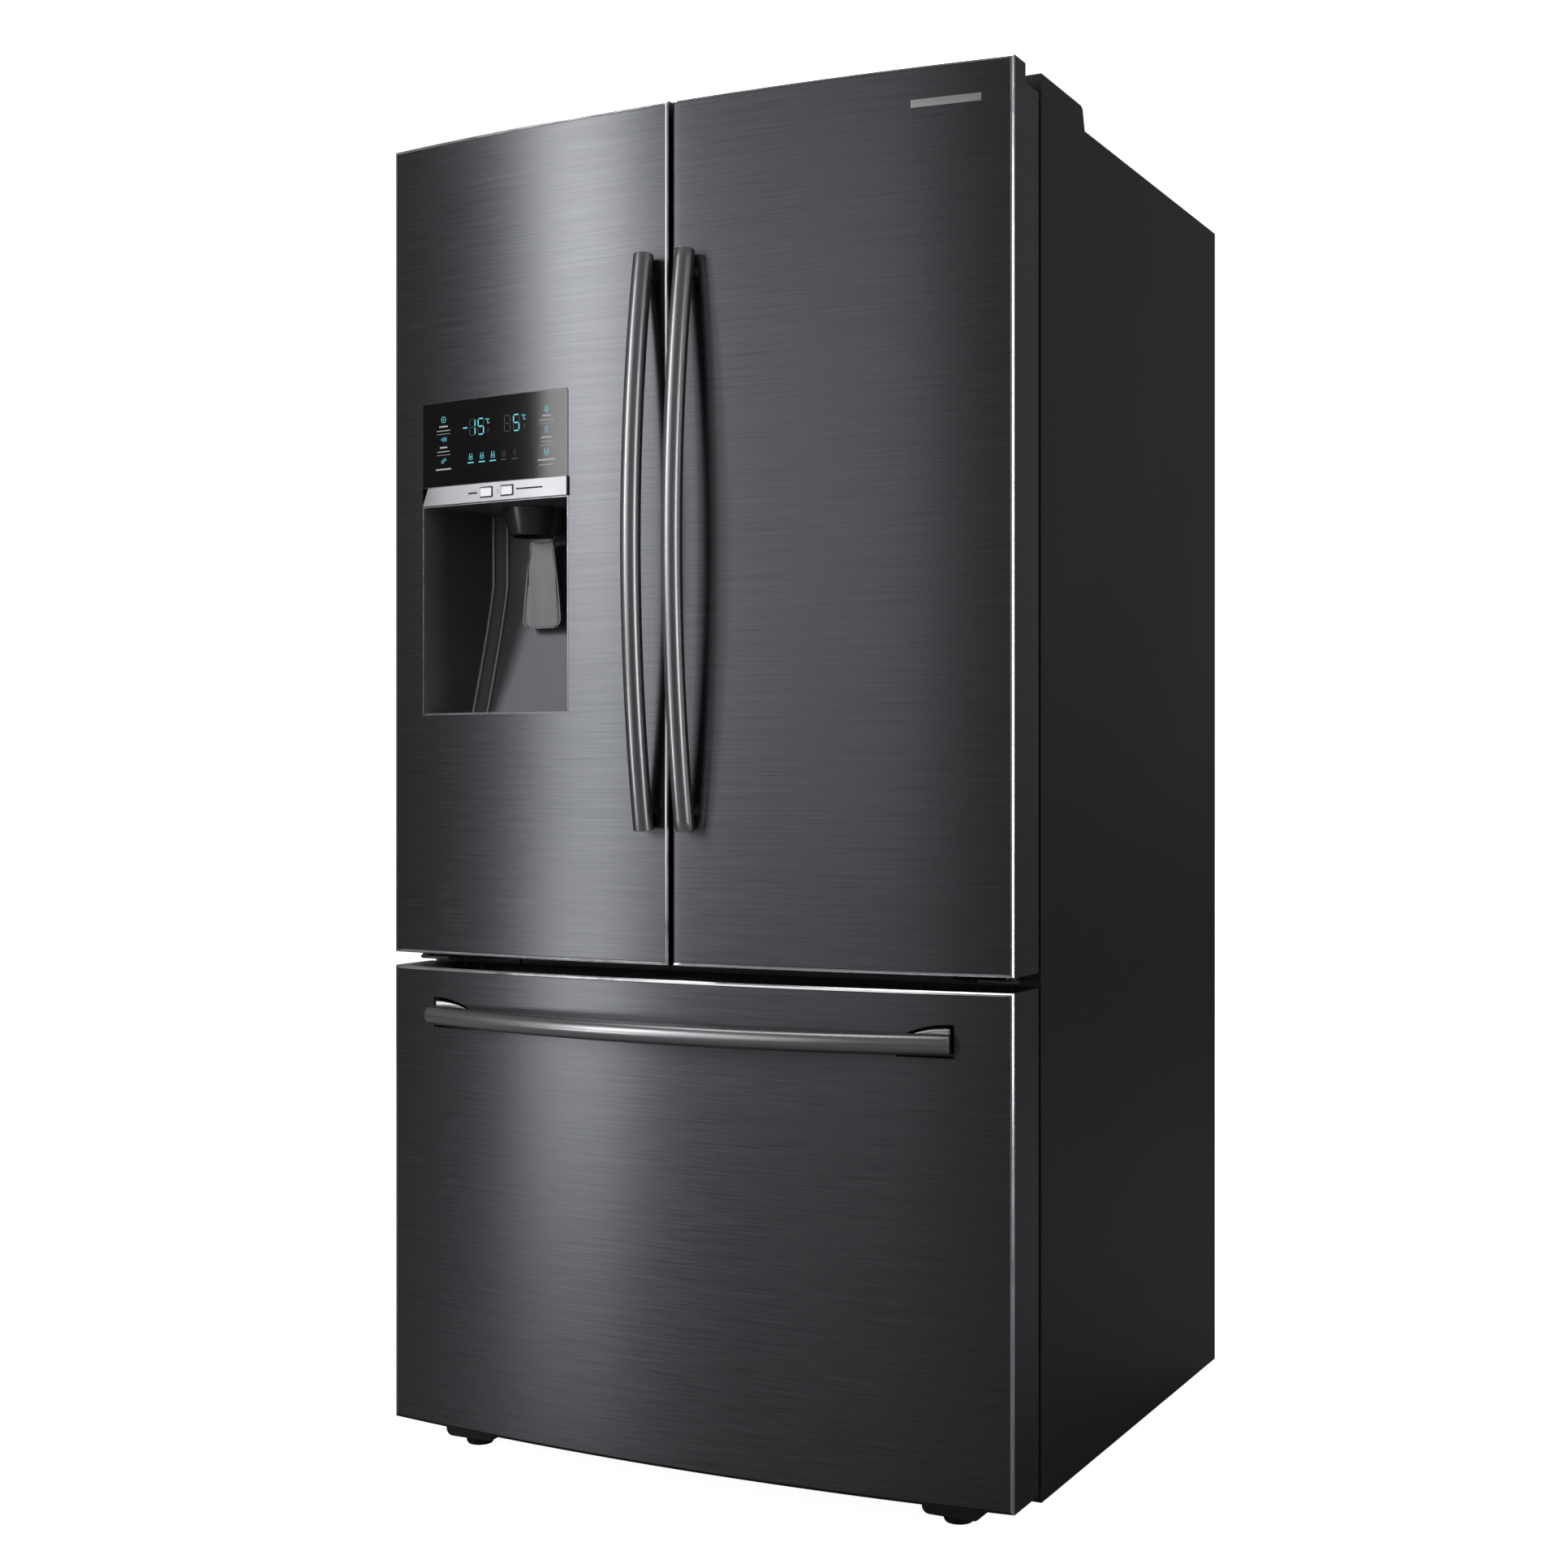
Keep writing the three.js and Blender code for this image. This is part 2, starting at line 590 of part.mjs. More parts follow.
function makeRoller() {
  const half = ROLLER_WIDTH / 2;
  return join(
    bar('x', ROLLER_RADIUS, ROLLER_X - half, ROLLER_X + half, ROLLER_Y, ROLLER_RADIUS, 32),
    bar('x', ROLLER_AXLE_RADIUS, ROLLER_X - ROLLER_AXLE_HALF, ROLLER_X + ROLLER_AXLE_HALF, ROLLER_Y,
      ROLLER_RADIUS, 16));
}

add('right_foot_bracket', makeFootBracket(), BLACK_PLASTIC);
add('left_foot_bracket', mirror(makeFootBracket()), BLACK_PLASTIC);
add('right_foot', makeFoot(), BLACK_PLASTIC);
add('left_foot', mirror(makeFoot()), BLACK_PLASTIC);
add('right_rear_roller', makeRoller(), BLACK_PLASTIC);
add('left_rear_roller', mirror(makeRoller()), BLACK_PLASTIC);

// ---- Doors ----
const DOOR_INNER = DOOR_GAP / 2;
const GASKET_OUTER = HALF - PIN_INSET - 1;
const DYKE_BOTTOM = FRIDGE_FLOOR + DYKE_CLEARANCE;
const DYKE_TOP = FRIDGE_CEILING - DYKE_CLEARANCE;

// Everything below is drawn for the right door; the left one is its mirror image.
function doorCuts() {
  return [
    box(HALF - NOTCH_WIDTH, HALF + 1, NOTCH_FRONT, DOOR_BACK + 60, NOTCH_FLOOR, DOOR_TOP + 1),
    bar('z', PIN_RADIUS + PIN_CLEARANCE, NOTCH_FLOOR - PIN_LENGTH - 2, NOTCH_FLOOR + 1, PIN_X, PIN_Y, 16),
    bar('z', PIN_RADIUS + PIN_CLEARANCE, DOOR_BOTTOM - 1, DOOR_BOTTOM + PIN_LENGTH + 2, PIN_X, PIN_Y, 16),
  ];
}

function makeDoorSkin() {
  return cut(panelSkin(DOOR_INNER, HALF, DOOR_BOTTOM, DOOR_TOP), ...doorCuts());
}

function makeDoorLiner() {
  const dyke = cut(
    box(FREE_DYKE, DYKE_OUTER, DOOR_BACK - 1, DOOR_BACK + DYKE_HEIGHT, DYKE_BOTTOM, DYKE_TOP),
    box(FREE_DYKE + DYKE_WALL, DYKE_OUTER - DYKE_WALL, DOOR_BACK, DOOR_BACK + DYKE_HEIGHT + 1,
      DYKE_BOTTOM + DYKE_WALL, DYKE_TOP - DYKE_WALL));
  return cut(join(panelCore(DOOR_INNER, HALF, DOOR_BOTTOM, DOOR_TOP), dyke), ...doorCuts());
}

function gasket(x0, x1, z0, z1) {
  const front = DOOR_BACK + FIT_GAP;
  const back = front + GASKET_THICKNESS;
  const w = GASKET_WIDTH;
  return cut(box(x0, x1, front, back, z0, z1), box(x0 + w, x1 - w, front - 1, back + 1, z0 + w, z1 - w));
}

function makeDoorGasket() {
  const reach = GASKET_WIDTH + 6;
  return gasket(FREE_DYKE - reach, GASKET_OUTER, DYKE_BOTTOM - reach, DYKE_TOP + reach);
}

// A round bar bowed between two ends through a middle point.
function bowedTube(ends, middle, steps) {
  const [a, b] = ends;
  const control = middle.clone().multiplyScalar(2).sub(a.clone().add(b).multiplyScalar(0.5));
  const path = new THREE.QuadraticBezierCurve3(a, control, b);
  const section = new THREE.Shape();
  section.absarc(0, 0, HANDLE_DIAMETER / 2, 0, Math.PI * 2);
  return solid(new THREE.ExtrudeGeometry(section, { steps, extrudePath: path, curveSegments: 7 }));
}

const HANDLE_POST_RADIUS = 8;

// A bowed bar with a short post back to the door near each end.
function makeDoorHandle() {
  const face = bowY(DOOR_HANDLE_X);
  const endY = face - HANDLE_DIAMETER / 2 - HANDLE_CLEARANCE;
  const middleZ = (DOOR_HANDLE_BOTTOM + DOOR_HANDLE_TOP) / 2;
  const ends = [DOOR_HANDLE_BOTTOM, DOOR_HANDLE_TOP].map((z) => new THREE.Vector3(DOOR_HANDLE_X, endY, z));
  const tube = bowedTube(ends, new THREE.Vector3(DOOR_HANDLE_X, face - HANDLE_MID_STANDOFF, middleZ), 14);
  const postEnd = bowY(DOOR_HANDLE_X + HANDLE_POST_RADIUS) - 2 * FIT_GAP;
  const posts = [DOOR_HANDLE_BOTTOM + HANDLE_POST_INSET, DOOR_HANDLE_TOP - HANDLE_POST_INSET]
    .map((z) => bar('y', HANDLE_POST_RADIUS, endY, postEnd, DOOR_HANDLE_X, z, 12));
  return join(tube, ...posts);
}

function doorBin(x0, x1, { z, height }) {
  return tray(x0, x1, DOOR_BACK + RUN_GAP, BIN_REACH, z, z + height, BIN_WALL);
}

const BIN_X0 = FREE_DYKE + DYKE_WALL + RUN_GAP;
const BIN_X1 = DYKE_OUTER - DYKE_WALL - RUN_GAP;

add('right_door_skin', makeDoorSkin(), DARK_STEEL);
add('right_door_liner', makeDoorLiner(), WHITE_PLASTIC);
add('right_door_gasket', makeDoorGasket(), RUBBER);
add('right_handle', makeDoorHandle(), HANDLE_METAL);
add('right_upper_bin', doorBin(BIN_X0, BIN_X1, UPPER_BINS), CLEAR_PLASTIC);
add('right_middle_bin', doorBin(BIN_X0, BIN_X1, RIGHT_MIDDLE_BIN), CLEAR_PLASTIC);
add('right_lower_bin', doorBin(BIN_X0, BIN_X1, RIGHT_LOWER_BIN), CLEAR_PLASTIC);

// ---- Dispenser in the left door ----
const RECESS_TAPER = 25;
const RECESS_CORNER = [18, 8];
const RECESS_FLOOR = DISPENSER_BOTTOM + RECESS_WALL + 1;
const RECESS_SLOPE_FOOT = -14;
const RECESS_SLOPE_TOP = 1160;
const BULGE_BACK = RECESS_BACK + 18;

// The recess narrows towards its back, and its back wall slopes forward at the bottom.
function recess(extra) {
  const left = DISPENSER_LEFT + RECESS_WALL;
  const right = DISPENSER_RIGHT - RECESS_WALL;
  const front = EDGE_FRONT - BOW - 17;
  const bendY = RECESS_BACK - RECESS_CORNER[1];
  const spread = (x) => (RECESS_TAPER * (bowY(x) - front)) / (bendY - bowY(x));
  const plan = [
    [left - spread(left), front],
    [right + spread(right), front],
    [right - RECESS_TAPER, bendY],
    [right - RECESS_TAPER - RECESS_CORNER[0], RECESS_BACK],
    [left + RECESS_TAPER + RECESS_CORNER[0], RECESS_BACK],
    [left + RECESS_TAPER, bendY],
  ];
  const rise = (RECESS_SLOPE_TOP - RECESS_FLOOR) / (RECESS_BACK - RECESS_SLOPE_FOOT);
  const beyond = RECESS_BACK + 20;
  const side = [
    [front, RECESS_FLOOR],
    [RECESS_SLOPE_FOOT, RECESS_FLOOR],
    [beyond, RECESS_SLOPE_TOP + (beyond - RECESS_BACK) * rise],
    [beyond, BAR_BOTTOM],
    [front, BAR_BOTTOM],
  ];
  return planSolid(grow(plan, extra), RECESS_FLOOR - 20, BAR_BOTTOM + 20)
    .intersect(sideSolid(grow(side, extra), left - 20, right + 20));
}

const PANEL_DEPTH = 8;
const BAR_PROUD = 4;
const BAR_DEPTH = 14;

function barRegion(spare) {
  return bowBand(DISPENSER_LEFT - spare, DISPENSER_RIGHT + spare, -BAR_PROUD - spare, BAR_DEPTH + spare,
    BAR_BOTTOM - spare, BAR_TOP + spare);
}

function panelRegion(spare) {
  return bowBand(DISPENSER_LEFT - spare, DISPENSER_RIGHT + spare, -1 - spare, PANEL_DEPTH + spare,
    BAR_TOP + FIT_GAP - spare, DISPENSER_TOP + spare);
}

function skinWindow() {
  return bowBand(DISPENSER_LEFT - FIT_GAP, DISPENSER_RIGHT + FIT_GAP, -20, DOOR_SKIN + 1,
    DISPENSER_BOTTOM - FIT_GAP, DISPENSER_TOP + FIT_GAP);
}

function makeDispenserHousing() {
  const face = planSolid(panelPlan(DISPENSER_LEFT - 10, DISPENSER_RIGHT + 10, 200, 0, 0), 0, DOOR_TOP);
  const flange = bowBand(DISPENSER_LEFT, DISPENSER_RIGHT, 0, DOOR_SKIN, DISPENSER_BOTTOM, BAR_BOTTOM);
  return cut(
    join(recess(RECESS_WALL), flange).intersect(face),
    recess(0),
    barRegion(FIT_GAP));
}

function buttonAt(x) {
  const half = BUTTON_WIDTH / 2;
  const middle = (BAR_BOTTOM + BAR_TOP) / 2;
  const face = bowY(x) - BAR_PROUD;
  return { half, middle, face };
}

function makeButton(x) {
  const { half, middle, face } = buttonAt(x);
  const rise = BUTTON_HEIGHT / 2;
  const back = face + BUTTON_DEPTH - BUTTON_ROOM;
  return box(x - half, x + half, face - BUTTON_PROUD, back, middle - rise, middle + rise);
}

function buttonPocket(x) {
  const { half, middle, face } = buttonAt(x);
  const rise = BUTTON_HEIGHT / 2 + BUTTON_GAP;
  const side = half + BUTTON_GAP;
  return box(x - side, x + side, face - 10, face + BUTTON_DEPTH, middle - rise, middle + rise);
}

const WATER_X = -287;
const ICE_X = -252;
const CHUTE_X = (DISPENSER_LEFT + DISPENSER_RIGHT) / 2;
const CHUTE_Y = -16;
const PADDLE_Y = 4;
const PADDLE_THICKNESS = 4;

// A cone sleeve that guides ice down from the ceiling of the recess.
function makeChute() {
  const profile = [
    [CHUTE_TOP_RADIUS, 0], [CHUTE_TOP_RADIUS - 5, 0], [CHUTE_FOOT_RADIUS - 3, -CHUTE_DROP],
    [CHUTE_FOOT_RADIUS, -CHUTE_DROP], [CHUTE_TOP_RADIUS, 0],
  ];
  return lathe(profile, 24, CHUTE_X, CHUTE_Y, BAR_BOTTOM - FIT_GAP);
}

function makePaddle() {
  const half = PADDLE_WIDTH / 2;
  const shape = new THREE.Shape();
  shape.moveTo(CHUTE_X - half + 12, PADDLE_BOTTOM);
  shape.lineTo(CHUTE_X + half - 12, PADDLE_BOTTOM);
  shape.quadraticCurveTo(CHUTE_X + half, PADDLE_BOTTOM, CHUTE_X + half - 1, PADDLE_BOTTOM + 14);
  shape.lineTo(CHUTE_X + half - 14, PADDLE_TOP);
  shape.lineTo(CHUTE_X - half + 14, PADDLE_TOP);
  shape.lineTo(CHUTE_X - half + 1, PADDLE_BOTTOM + 14);
  shape.quadraticCurveTo(CHUTE_X - half, PADDLE_BOTTOM, CHUTE_X - half + 12, PADDLE_BOTTOM);
  return frontSolid(shape, PADDLE_Y, PADDLE_Y + PADDLE_THICKNESS);
}

const BULGE_RIGHT = DISPENSER_RIGHT + 15;
const BULGE_BOTTOM = DISPENSER_BOTTOM - 12;
const BULGE_TOP = DISPENSER_TOP + 17;
const FLAP_X = -17;
const FLAP_Y = 9;
const FLAP_RADIUS = 7;
const FLAP_LENGTH = 35;
const FLAP_BRACKETS = [900, 1550];

function flapBracket(z) {
  return box(-FREE_DYKE - 1, FLAP_X - FLAP_RADIUS - 0.5, FLAP_Y - 6, FLAP_Y + 6, z - 30, z + 30);
}

// The left liner bulges inwards around the recess and carries the two flap brackets.
function makeLeftLiner() {
  const bulge = box(-DYKE_OUTER, BULGE_RIGHT, DOOR_BACK - 1, BULGE_BACK, BULGE_BOTTOM, BULGE_TOP);
  const whole = join(mirror(makeDoorLiner()), bulge, ...FLAP_BRACKETS.map(flapBracket));
  return cut(whole, recess(RECESS_WALL + FIT_GAP), barRegion(2 * FIT_GAP), panelRegion(FIT_GAP));
}

add('left_door_skin', cut(mirror(makeDoorSkin()), skinWindow()), DARK_STEEL);
add('left_door_liner', makeLeftLiner(), WHITE_PLASTIC);
add('left_door_gasket', mirror(makeDoorGasket()), RUBBER);
add('left_handle', mirror(makeDoorHandle()), HANDLE_METAL);
add('dispenser_housing', makeDispenserHousing(), BLACK_PLASTIC);
add('control_panel', panelRegion(0), BLACK_GLASS);
add('dispenser_bar', cut(barRegion(0), buttonPocket(WATER_X), buttonPocket(ICE_X)), SATIN_SILVER);
add('water_button', makeButton(WATER_X), SATIN_SILVER);
add('ice_button', makeButton(ICE_X), SATIN_SILVER);
add('ice_chute', makeChute(), BLACK_PLASTIC);
add('dispenser_paddle', makePaddle(), GREY_PLASTIC);
add('left_upper_bin', doorBin(-BIN_X1, -BIN_X0, UPPER_BINS), CLEAR_PLASTIC);
add('left_lower_bin', doorBin(-BIN_X1, -BIN_X0, LEFT_LOWER_BIN), CLEAR_PLASTIC);

// Folding mullion on the free edge of the left door, here folded back beside the door liner.
function makeCentreFlap() {
  const shape = new THREE.Shape();
  shape.moveTo(FLAP_X + FLAP_RADIUS, FLAP_Y);
  shape.lineTo(FLAP_X + FLAP_RADIUS, FLAP_Y + FLAP_LENGTH);
  shape.lineTo(FLAP_X - FLAP_RADIUS, FLAP_Y + FLAP_LENGTH);
  shape.lineTo(FLAP_X - FLAP_RADIUS, FLAP_Y);
  shape.absarc(FLAP_X, FLAP_Y, FLAP_RADIUS, Math.PI, Math.PI * 2);
  return planSolid(shape, FRIDGE_FLOOR + 6, FRIDGE_CEILING - 6);
}

add('centre_flap', makeCentreFlap(), GREY_PLASTIC);

// ---- Fresh-food compartment fittings ----
// A framed pane, let in by the recess, on two arms that hook into the back wall.
function makeShelf(x0, x1, z) {
  const back = INSIDE_BACK - SHELF_BACK_GAP;
  const top = z + SHELF_THICKNESS;
  const rim = SHELF_RIM;
  const frame = cut(
    box(x0, x1, SHELF_FRONT, back, z, top),
    box(x0 + rim, x1 - rim, SHELF_FRONT + rim, back - rim, top - SHELF_RECESS, top + 1));
  const wallY = INSIDE_BACK - FIT_GAP;
  const armFront = SHELF_FRONT + 60;
  const arm = [[armFront, z + 1], [wallY, z - BRACKET_DROP], [wallY, top], [armFront, z + 3]];
  const inset = (SHELF_RIM - BRACKET_WIDTH) / 2;
  return join(
    frame,
    sideSolid(arm, x0 + inset, x0 + inset + BRACKET_WIDTH),
    sideSolid(arm, x1 - inset - BRACKET_WIDTH, x1 - inset));
}

const SHELF_X0 = SHELF_MIDDLE_GAP;
const SHELF_X1 = INSIDE_HALF - SHELF_MIDDLE_GAP;
add('upper_right_shelf', makeShelf(SHELF_X0, SHELF_X1, UPPER_SHELF_Z), CLEAR_PLASTIC);
add('lower_right_shelf', makeShelf(SHELF_X0, SHELF_X1, LOWER_SHELF_Z), CLEAR_PLASTIC);
add('lower_left_shelf', makeShelf(-SHELF_X1, -SHELF_X0, LOWER_SHELF_Z), CLEAR_PLASTIC);

const COVER_Z = FRIDGE_FLOOR + CRISPER_HEIGHT + 16;
add('crisper_cover', join(
  box(-WALL_FIT, WALL_FIT, CRISPER_FRONT - 5, INSIDE_BACK - FIT_GAP, COVER_Z, COVER_Z + SHELF_THICKNESS),
  box(-4, 4, CRISPER_FRONT + 20, INSIDE_BACK - FIT_GAP, FRIDGE_FLOOR + FIT_GAP, COVER_Z + 1)), CLEAR_PLASTIC);

const ICE_RIGHT = -145;
const ICE_FRONT = 130;
const ICE_BOTTOM = 1390;
const DUCT_HALF = 34;
const DUCT_HEIGHT = 45;

// The ice box hangs in the upper left corner; its duct meets the back of the dispenser bulge.
add('ice_maker', join(
  box(-WALL_FIT, ICE_RIGHT, ICE_FRONT, INSIDE_BACK - FIT_GAP, ICE_BOTTOM, FRIDGE_CEILING - FIT_GAP),
  box(CHUTE_X - DUCT_HALF, CHUTE_X + DUCT_HALF, BULGE_BACK + 2, ICE_FRONT + 1,
    ICE_BOTTOM, ICE_BOTTOM + DUCT_HEIGHT)), WHITE_PLASTIC);

const GRIP_INSET = 60;
const GRIP_REACH = 14;

function makeCrisper(x0, x1) {
  const z0 = FRIDGE_FLOOR + RUN_GAP;
  const top = z0 + CRISPER_HEIGHT;
  const body = tray(x0, x1, CRISPER_FRONT, INSIDE_BACK - CRISPER_BACK_GAP, z0, top, BIN_WALL);
  const grip = box(x0 + GRIP_INSET, x1 - GRIP_INSET, CRISPER_FRONT - GRIP_REACH, CRISPER_FRONT + 1,
    top - 22, top - 4);
  return join(body, grip);
}

add('right_crisper', makeCrisper(8, INSIDE_HALF - 4), CLEAR_PLASTIC);
add('left_crisper', makeCrisper(-INSIDE_HALF + 4, -8), CLEAR_PLASTIC);

// ---- Freezer drawer ----
function wingOutline(shrink) {
  const outer = DRAWER_HANDLE_HALF + 2 - shrink;
  const inner = outer - POCKET_LENGTH + 2 * shrink;
  const bottom = DRAWER_HANDLE_Z - POCKET_HEIGHT / 2 + 3 + shrink;
  const top = bottom + POCKET_HEIGHT - 2 * shrink;
  const shape = new THREE.Shape();
  shape.moveTo(inner, bottom);
  shape.lineTo(outer, bottom);
  shape.lineTo(outer, top);
  shape.quadraticCurveTo(inner + 14, top, inner, bottom + (top - bottom) * 0.55);
  return shape;
}

function pocket(spare) {
  const front = EDGE_FRONT - BOW - 5;
  const floor = bowY(DRAWER_HANDLE_HALF) + POCKET_DEPTH + spare;
  const wing = frontSolid(wingOutline(-spare), front, floor);
  return join(wing, mirror(wing));
}

function makeDrawerHandle() {
  const endY = bowY(DRAWER_HANDLE_HALF) - DRAWER_HANDLE_END_STANDOFF;
  const z = DRAWER_HANDLE_Z;
  const tube = bowedTube(
    [new THREE.Vector3(-DRAWER_HANDLE_HALF, endY, z), new THREE.Vector3(DRAWER_HANDLE_HALF, endY, z)],
    new THREE.Vector3(0, bowY(0) - HANDLE_MID_STANDOFF, z), 20);
  const arm = frontSolid(wingOutline(5), endY + 4, bowY(DRAWER_HANDLE_HALF) + 14);
  return join(tube, arm, mirror(arm));
}

const LINER_FACE = DOOR_BACK + 18;
const DRAWER_DYKE = [FREEZER_FLOOR + DYKE_CLEARANCE, FREEZER_CEILING - DYKE_CLEARANCE];

function makeDrawerLiner() {
  const [z0, z1] = DRAWER_DYKE;
  const inner = DYKE_OUTER - DYKE_WALL;
  const dyke = cut(
    box(-DYKE_OUTER, DYKE_OUTER, DOOR_BACK - 1, LINER_FACE, z0, z1),
    box(-inner, inner, DOOR_BACK, LINER_FACE + 1, z0 + DYKE_WALL, z1 - DYKE_WALL));
  return cut(join(panelCore(-HALF, HALF, DRAWER_BOTTOM, DRAWER_TOP), dyke), pocket(FIT_GAP));
}

function makeDrawerGasket() {
  const reach = GASKET_WIDTH + 4;
  return gasket(-GASKET_OUTER, GASKET_OUTER, DRAWER_DYKE[0] - reach, DRAWER_DYKE[1] + reach);
}

add('drawer_skin', cut(panelSkin(-HALF, HALF, DRAWER_BOTTOM, DRAWER_TOP), pocket(0)), DARK_STEEL);
add('drawer_liner', makeDrawerLiner(), WHITE_PLASTIC);
add('drawer_gasket', makeDrawerGasket(), RUBBER);
add('drawer_handle', makeDrawerHandle(), HANDLE_METAL);

const RAIL_WIDTH = 16;
const RAIL_WEB = 3;
const RAIL_LIP = 4;
const RAIL_PROUD = 6;
const CROSS_DEPTH = 6;
const CROSS_HEIGHT = 24;

// C-shaped channel screwed to the liner, open towards the middle.
function makeFixedRail() {
  return cut(
    box(WALL_FIT - RAIL_WIDTH, WALL_FIT, RAIL_FRONT, RAIL_BACK, RAIL_Z, RAIL_Z + RAIL_HEIGHT),
    box(WALL_FIT - RAIL_WIDTH - 1, WALL_FIT - RAIL_WEB, RAIL_FRONT - 1, RAIL_BACK + 1,
      RAIL_Z + RAIL_LIP, RAIL_Z + RAIL_HEIGHT - RAIL_LIP));
}

// Two sliding members joined by a cross bar on the back of the drawer front.
function makeDrawerFrame() {
  const gap = RUN_GAP;
  const z0 = RAIL_Z + RAIL_LIP + gap;
  const z1 = RAIL_Z + RAIL_HEIGHT - RAIL_LIP - gap;
  const front = LINER_FACE + FIT_GAP;
  const between = WALL_FIT - RAIL_WIDTH;
  const member = box(between - RAIL_PROUD, WALL_FIT - RAIL_WEB - gap, front, RAIL_BACK - 20, z0, z1);
  const cross = box(-between, between, front, front + CROSS_DEPTH, z0, z0 + CROSS_HEIGHT);
  return join(member, mirror(member), cross);
}

const BASKET_HALF = WALL_FIT - RAIL_WIDTH - RAIL_PROUD - 2;
const LIP_Z = RAIL_Z + RAIL_HEIGHT - RAIL_LIP - RUN_GAP + FIT_GAP;
const LIP_REACH = 7;

function makeBasket() {
  const y0 = LINER_FACE + FIT_GAP + CROSS_DEPTH + RUN_GAP;
  const y1 = STEP_Y - BASKET_BACK_GAP;
  const top = LIP_Z + BIN_WALL;
  const body = tray(-BASKET_HALF, BASKET_HALF, y0, y1, top - BASKET_HEIGHT, top, BIN_WALL);
  const lip = cut(
    box(-BASKET_HALF - LIP_REACH, BASKET_HALF + LIP_REACH, y0, y1 - 10, LIP_Z, top),
    box(-BASKET_HALF + BIN_WALL, BASKET_HALF - BIN_WALL, y0 - 1, y1, LIP_Z - 1, top + 1));
  return join(body, lip);
}

const TRAY_Z = 430;

function makeTray() {
  const half = INSIDE_HALF - 8;
  return tray(-half, half, TRAY_FRONT, INSIDE_BACK - TRAY_BACK_GAP, TRAY_Z, TRAY_Z + TRAY_HEIGHT, BIN_WALL);
}

const EVAPORATOR = { half: 250, pitch: 48, depth: 70, bottom: STEP_Z + 15, top: STEP_Z + 235 };

// Finned coil behind the tray, at the back of the freezer.
function makeEvaporator() {
  const back = INSIDE_BACK - FIT_GAP;
  const { half, pitch, depth, bottom, top } = EVAPORATOR;
  const fins = [];
  for (let x = -half + 10; x <= half - 10; x += pitch) {
    fins.push(box(x - 4, x + 4, back - depth, back - 12, bottom + 5, top - 5));
  }
  return join(box(-half, half, back - 20, back, bottom, top), ...fins);
}

add('evaporator', makeEvaporator(), ZINC);
add('right_fixed_rail', makeFixedRail(), ZINC);
add('left_fixed_rail', mirror(makeFixedRail()), ZINC);
add('drawer_frame', makeDrawerFrame(), ZINC);
add('freezer_basket', makeBasket(), CLEAR_PLASTIC);
add('freezer_tray', makeTray(), CLEAR_PLASTIC);

// The origin is under the middle of the whole object, on the floor.
const handleFront = bowY(0) - HANDLE_MID_STANDOFF - HANDLE_DIAMETER / 2;
parts.position.y = -(handleFront + CASE_DEPTH) / 2;

export default parts;
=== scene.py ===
import bpy
import bmesh
import math
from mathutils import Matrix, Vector


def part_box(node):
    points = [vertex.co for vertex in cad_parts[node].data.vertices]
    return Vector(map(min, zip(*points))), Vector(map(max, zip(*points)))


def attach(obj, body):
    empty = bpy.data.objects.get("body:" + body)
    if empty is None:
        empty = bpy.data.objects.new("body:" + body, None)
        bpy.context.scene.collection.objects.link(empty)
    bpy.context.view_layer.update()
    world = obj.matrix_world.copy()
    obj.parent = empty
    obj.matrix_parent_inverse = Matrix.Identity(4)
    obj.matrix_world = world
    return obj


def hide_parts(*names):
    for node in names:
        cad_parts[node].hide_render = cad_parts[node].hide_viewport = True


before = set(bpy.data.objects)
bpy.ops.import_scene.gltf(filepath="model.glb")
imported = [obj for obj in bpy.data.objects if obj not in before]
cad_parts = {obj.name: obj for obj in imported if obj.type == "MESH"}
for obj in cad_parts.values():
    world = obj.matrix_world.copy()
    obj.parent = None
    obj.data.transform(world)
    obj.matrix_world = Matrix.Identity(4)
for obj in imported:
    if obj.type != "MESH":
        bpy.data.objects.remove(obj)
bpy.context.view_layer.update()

# ---- Camera and studio ----
# A camera at chest height in front and to the right, a pale floor, and soft boxes: one tall box to the
# left front that draws the upright highlight on the bowed fronts, one to the right and one overhead.
CAMERA_PLACE = (1.4016, -2.8002, 0.9116)
CAMERA_YAW = math.radians(26.755)
CAMERA_LENS = 50.15
CAMERA_SHIFT = (-0.01476, -0.0021)

bpy.ops.object.select_all(action="DESELECT")
bpy.ops.object.camera_add(location=CAMERA_PLACE, rotation=(math.pi / 2, 0, CAMERA_YAW))
camera = bpy.context.object
camera.name = "camera"
camera.data.lens = CAMERA_LENS
camera.data.sensor_width = 36
camera.data.shift_x, camera.data.shift_y = CAMERA_SHIFT
camera.data.clip_end = 200
bpy.context.scene.camera = camera
bpy.context.scene.view_settings.view_transform = "Standard"


def soft_box(name, place, aim, size, power):
    bpy.ops.object.light_add(type="AREA", location=place)
    lamp = bpy.context.object
    lamp.name = name
    lamp.rotation_euler = (Vector(aim) - Vector(place)).to_track_quat("-Z", "Y").to_euler()
    lamp.data.shape = "RECTANGLE"
    lamp.data.size, lamp.data.size_y = size
    lamp.data.energy = power
    lamp.visible_camera = False


